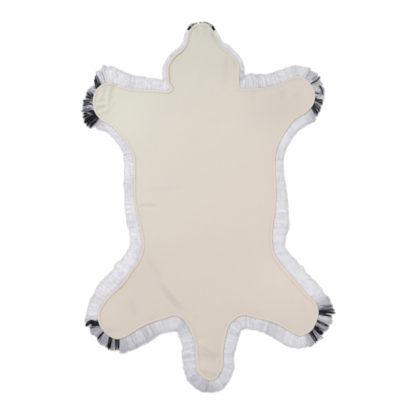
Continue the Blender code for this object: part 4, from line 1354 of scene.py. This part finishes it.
class RUG_OT_short_pile(bpy.types.Operator):
    """Add the head's short white pile and the muzzle's short black one"""

    bl_idname = "rug.short_pile"
    bl_label = "Short pile"

    HEAD_TUFTS, MUZZLE_TUFTS = 11000, 9000  # along a metre of the edge
    HEAD_TUFT, MUZZLE_TUFT = 0.34 * MM, 0.36 * MM  # radius
    GAP_RADIUS = 3.5 * MM  # of the white tuft in the muzzle's black
    NOSE, NOSE_BLEND = 452 * MM, 8 * MM  # from where on the black thins out, and how fast
    NOSE_WHITE = 0.4  # share of white tufts over the nose

    def execute(self, context):
        rng = np.random.default_rng(context.scene.rug_pile.seed + 1)

        def short(name, density, lock, **make):
            run = runs()[name]
            return grow(run, round(density * along(run.points)[-1]), lock, rng, **make)

        make = {"length": (0.85, 1.05), "inset": 6 * MM, "rise": 1.2 * MM}
        sides = [short(k, self.HEAD_TUFTS, 7 * MM, **make) for k in ("head_right", "head_left")]
        slot = "short_white_pile"
        head = add_tufts("head_short_pile", joined(sides), "short", slot, self.HEAD_TUFT)

        make = {"length": (0.6, 1.15), "inset": 3 * MM, "rise": 0.8 * MM}
        black = short("muzzle", self.MUZZLE_TUFTS, 5 * MM, **make)
        away = np.linalg.norm(black.roots[:, :2] - np.array(NOSE_GAP) * MM, axis=1)
        over_top = smooth_step((black.roots[:, 1] - self.NOSE) / self.NOSE_BLEND)
        pale = rng.random(len(away)) < self.NOSE_WHITE * over_top
        pale |= away < self.GAP_RADIUS
        width = self.MUZZLE_TUFT
        dark = picked(black, ~pale)
        muzzle = add_tufts("muzzle_short_pile", dark, "black", "short_black_pile", width, 0.6)
        tuft = add_tufts("muzzle_white_tuft", picked(black, pale), "white", slot, width)
        return {"FINISHED"}


# ---------------------------------------------------------------- floor, light, camera


class RUG_OT_stage(bpy.types.Operator):
    """Add the pale floor, the soft light and the camera"""

    bl_idname = "rug.stage"
    bl_label = "Floor, light and camera"

    # The photograph's middle, beside the middle of the rug's box.
    AIM = (-1.8 * MM, -2.0 * MM)
    BACK = 16 * MM  # how high the rug's back lies
    FLOOR = 6.0  # from the middle of the floor to its sides

    def execute(self, context):
        settings = context.scene.rug_stage
        scene = context.scene
        scene.view_settings.view_transform = "Standard"
        material, tree, shader = new_material("matt_white_painted_board")
        place = add_node(tree, "TexCoord", out="Object")
        speckle = add_node(tree, "TexNoise", {"Vector": place, "Scale": 2.0}, "Fac")
        whites = ((0.0, linear("#F8F8F8")), (1.0, linear("#FBFBFB")))
        tint = add_node(tree, "ValToRGB", {"Fac": speckle}, stops=whites)
        plug(tree, shader, {"Base Color": tint, "Roughness": 0.9, "Specular IOR Level": 0.2})
        corners = ((-1, -1), (1, -1), (1, 1), (-1, 1))
        places = [(self.FLOOR * x, self.FLOOR * y, 0) for x, y in corners]
        floor = add_piece("floor", places, [[(0, 1, 2, 3)]], material)

        world = bpy.data.worlds.new("soft_room_light")
        scene.world = world
        world.use_nodes = True
        # The walls are as pale as the floor, and the ceiling gives less.
        tree = world.node_tree
        direction = add_node(tree, "TexCoord", out="Generated")
        height = add_node(tree, "SeparateXYZ", {"Vector": direction}, out="Z")
        walls_to_ceiling = ((0.12, grey(1.05 / settings.room_light)), (0.3, grey(1.0)))
        shade = add_node(tree, "ValToRGB", {"Fac": height}, stops=walls_to_ceiling)
        plug(tree, tree.nodes["Background"], {"Color": shade, "Strength": settings.room_light})

        # The large lamp hangs beyond the head, so each edge that faces the tail has the
        # softest of shadows. It is far away: it lights head and tail alike.
        lamp = bpy.data.lights.new("key", "SUN")
        lamp.angle = math.radians(50.0)
        lamp.energy = settings.key_light
        key = bpy.data.objects.new("key", lamp)
        key.rotation_euler = Vector((-0.3, 0.42, 1.0)).to_track_quat("Z", "Y").to_euler()
        context.collection.objects.link(key)

        lens = bpy.data.cameras.new("photo_view")
        lens.sensor_width = 36.0
        lens.lens = lens.sensor_width * settings.camera_height / settings.view_width
        lens.clip_end = 50.0
        camera = bpy.data.objects.new("photo_view", lens)
        camera.location = (*self.AIM, settings.camera_height + self.BACK)
        context.collection.objects.link(camera)
        scene.camera = camera
        return {"FINISHED"}


# ---------------------------------------------------------------- panel and running


class RUG_PT_panel(bpy.types.Panel):
    """The rug's pieces, in the order in which they are made"""

    bl_label = "Animal-shaped rug"
    bl_idname = "RUG_PT_panel"
    bl_space_type = "VIEW_3D"
    bl_region_type = "UI"
    bl_category = "Rug"

    def draw(self, context):
        layout = self.layout
        for name in ("rug_backing", "rug_pile", "rug_stage"):
            group = getattr(context.scene, name)
            for key in group.__annotations__:
                layout.prop(group, key)
        for operator in OPERATORS:
            layout.operator(operator.bl_idname)


OPERATORS = (RUG_OT_backing, RUG_OT_pile_mass, RUG_OT_long_pile, RUG_OT_short_pile, RUG_OT_stage)
CLASSES = (BackingSettings, PileSettings, StageSettings, *OPERATORS, RUG_PT_panel)


def register():
    for cls in CLASSES:
        bpy.utils.register_class(cls)
    bpy.types.Scene.rug_backing = PointerProperty(type=BackingSettings)
    bpy.types.Scene.rug_pile = PointerProperty(type=PileSettings)
    bpy.types.Scene.rug_stage = PointerProperty(type=StageSettings)


def unregister():
    for name in ("rug_backing", "rug_pile", "rug_stage"):
        delattr(bpy.types.Scene, name)
    for cls in reversed(CLASSES):
        bpy.utils.unregister_class(cls)


def main():
    register()
    bpy.ops.rug.backing()
    bpy.ops.rug.pile_mass()
    bpy.ops.rug.long_pile()
    bpy.ops.rug.short_pile()
    bpy.ops.rug.stage()


if __name__ == "__main__":
    main()
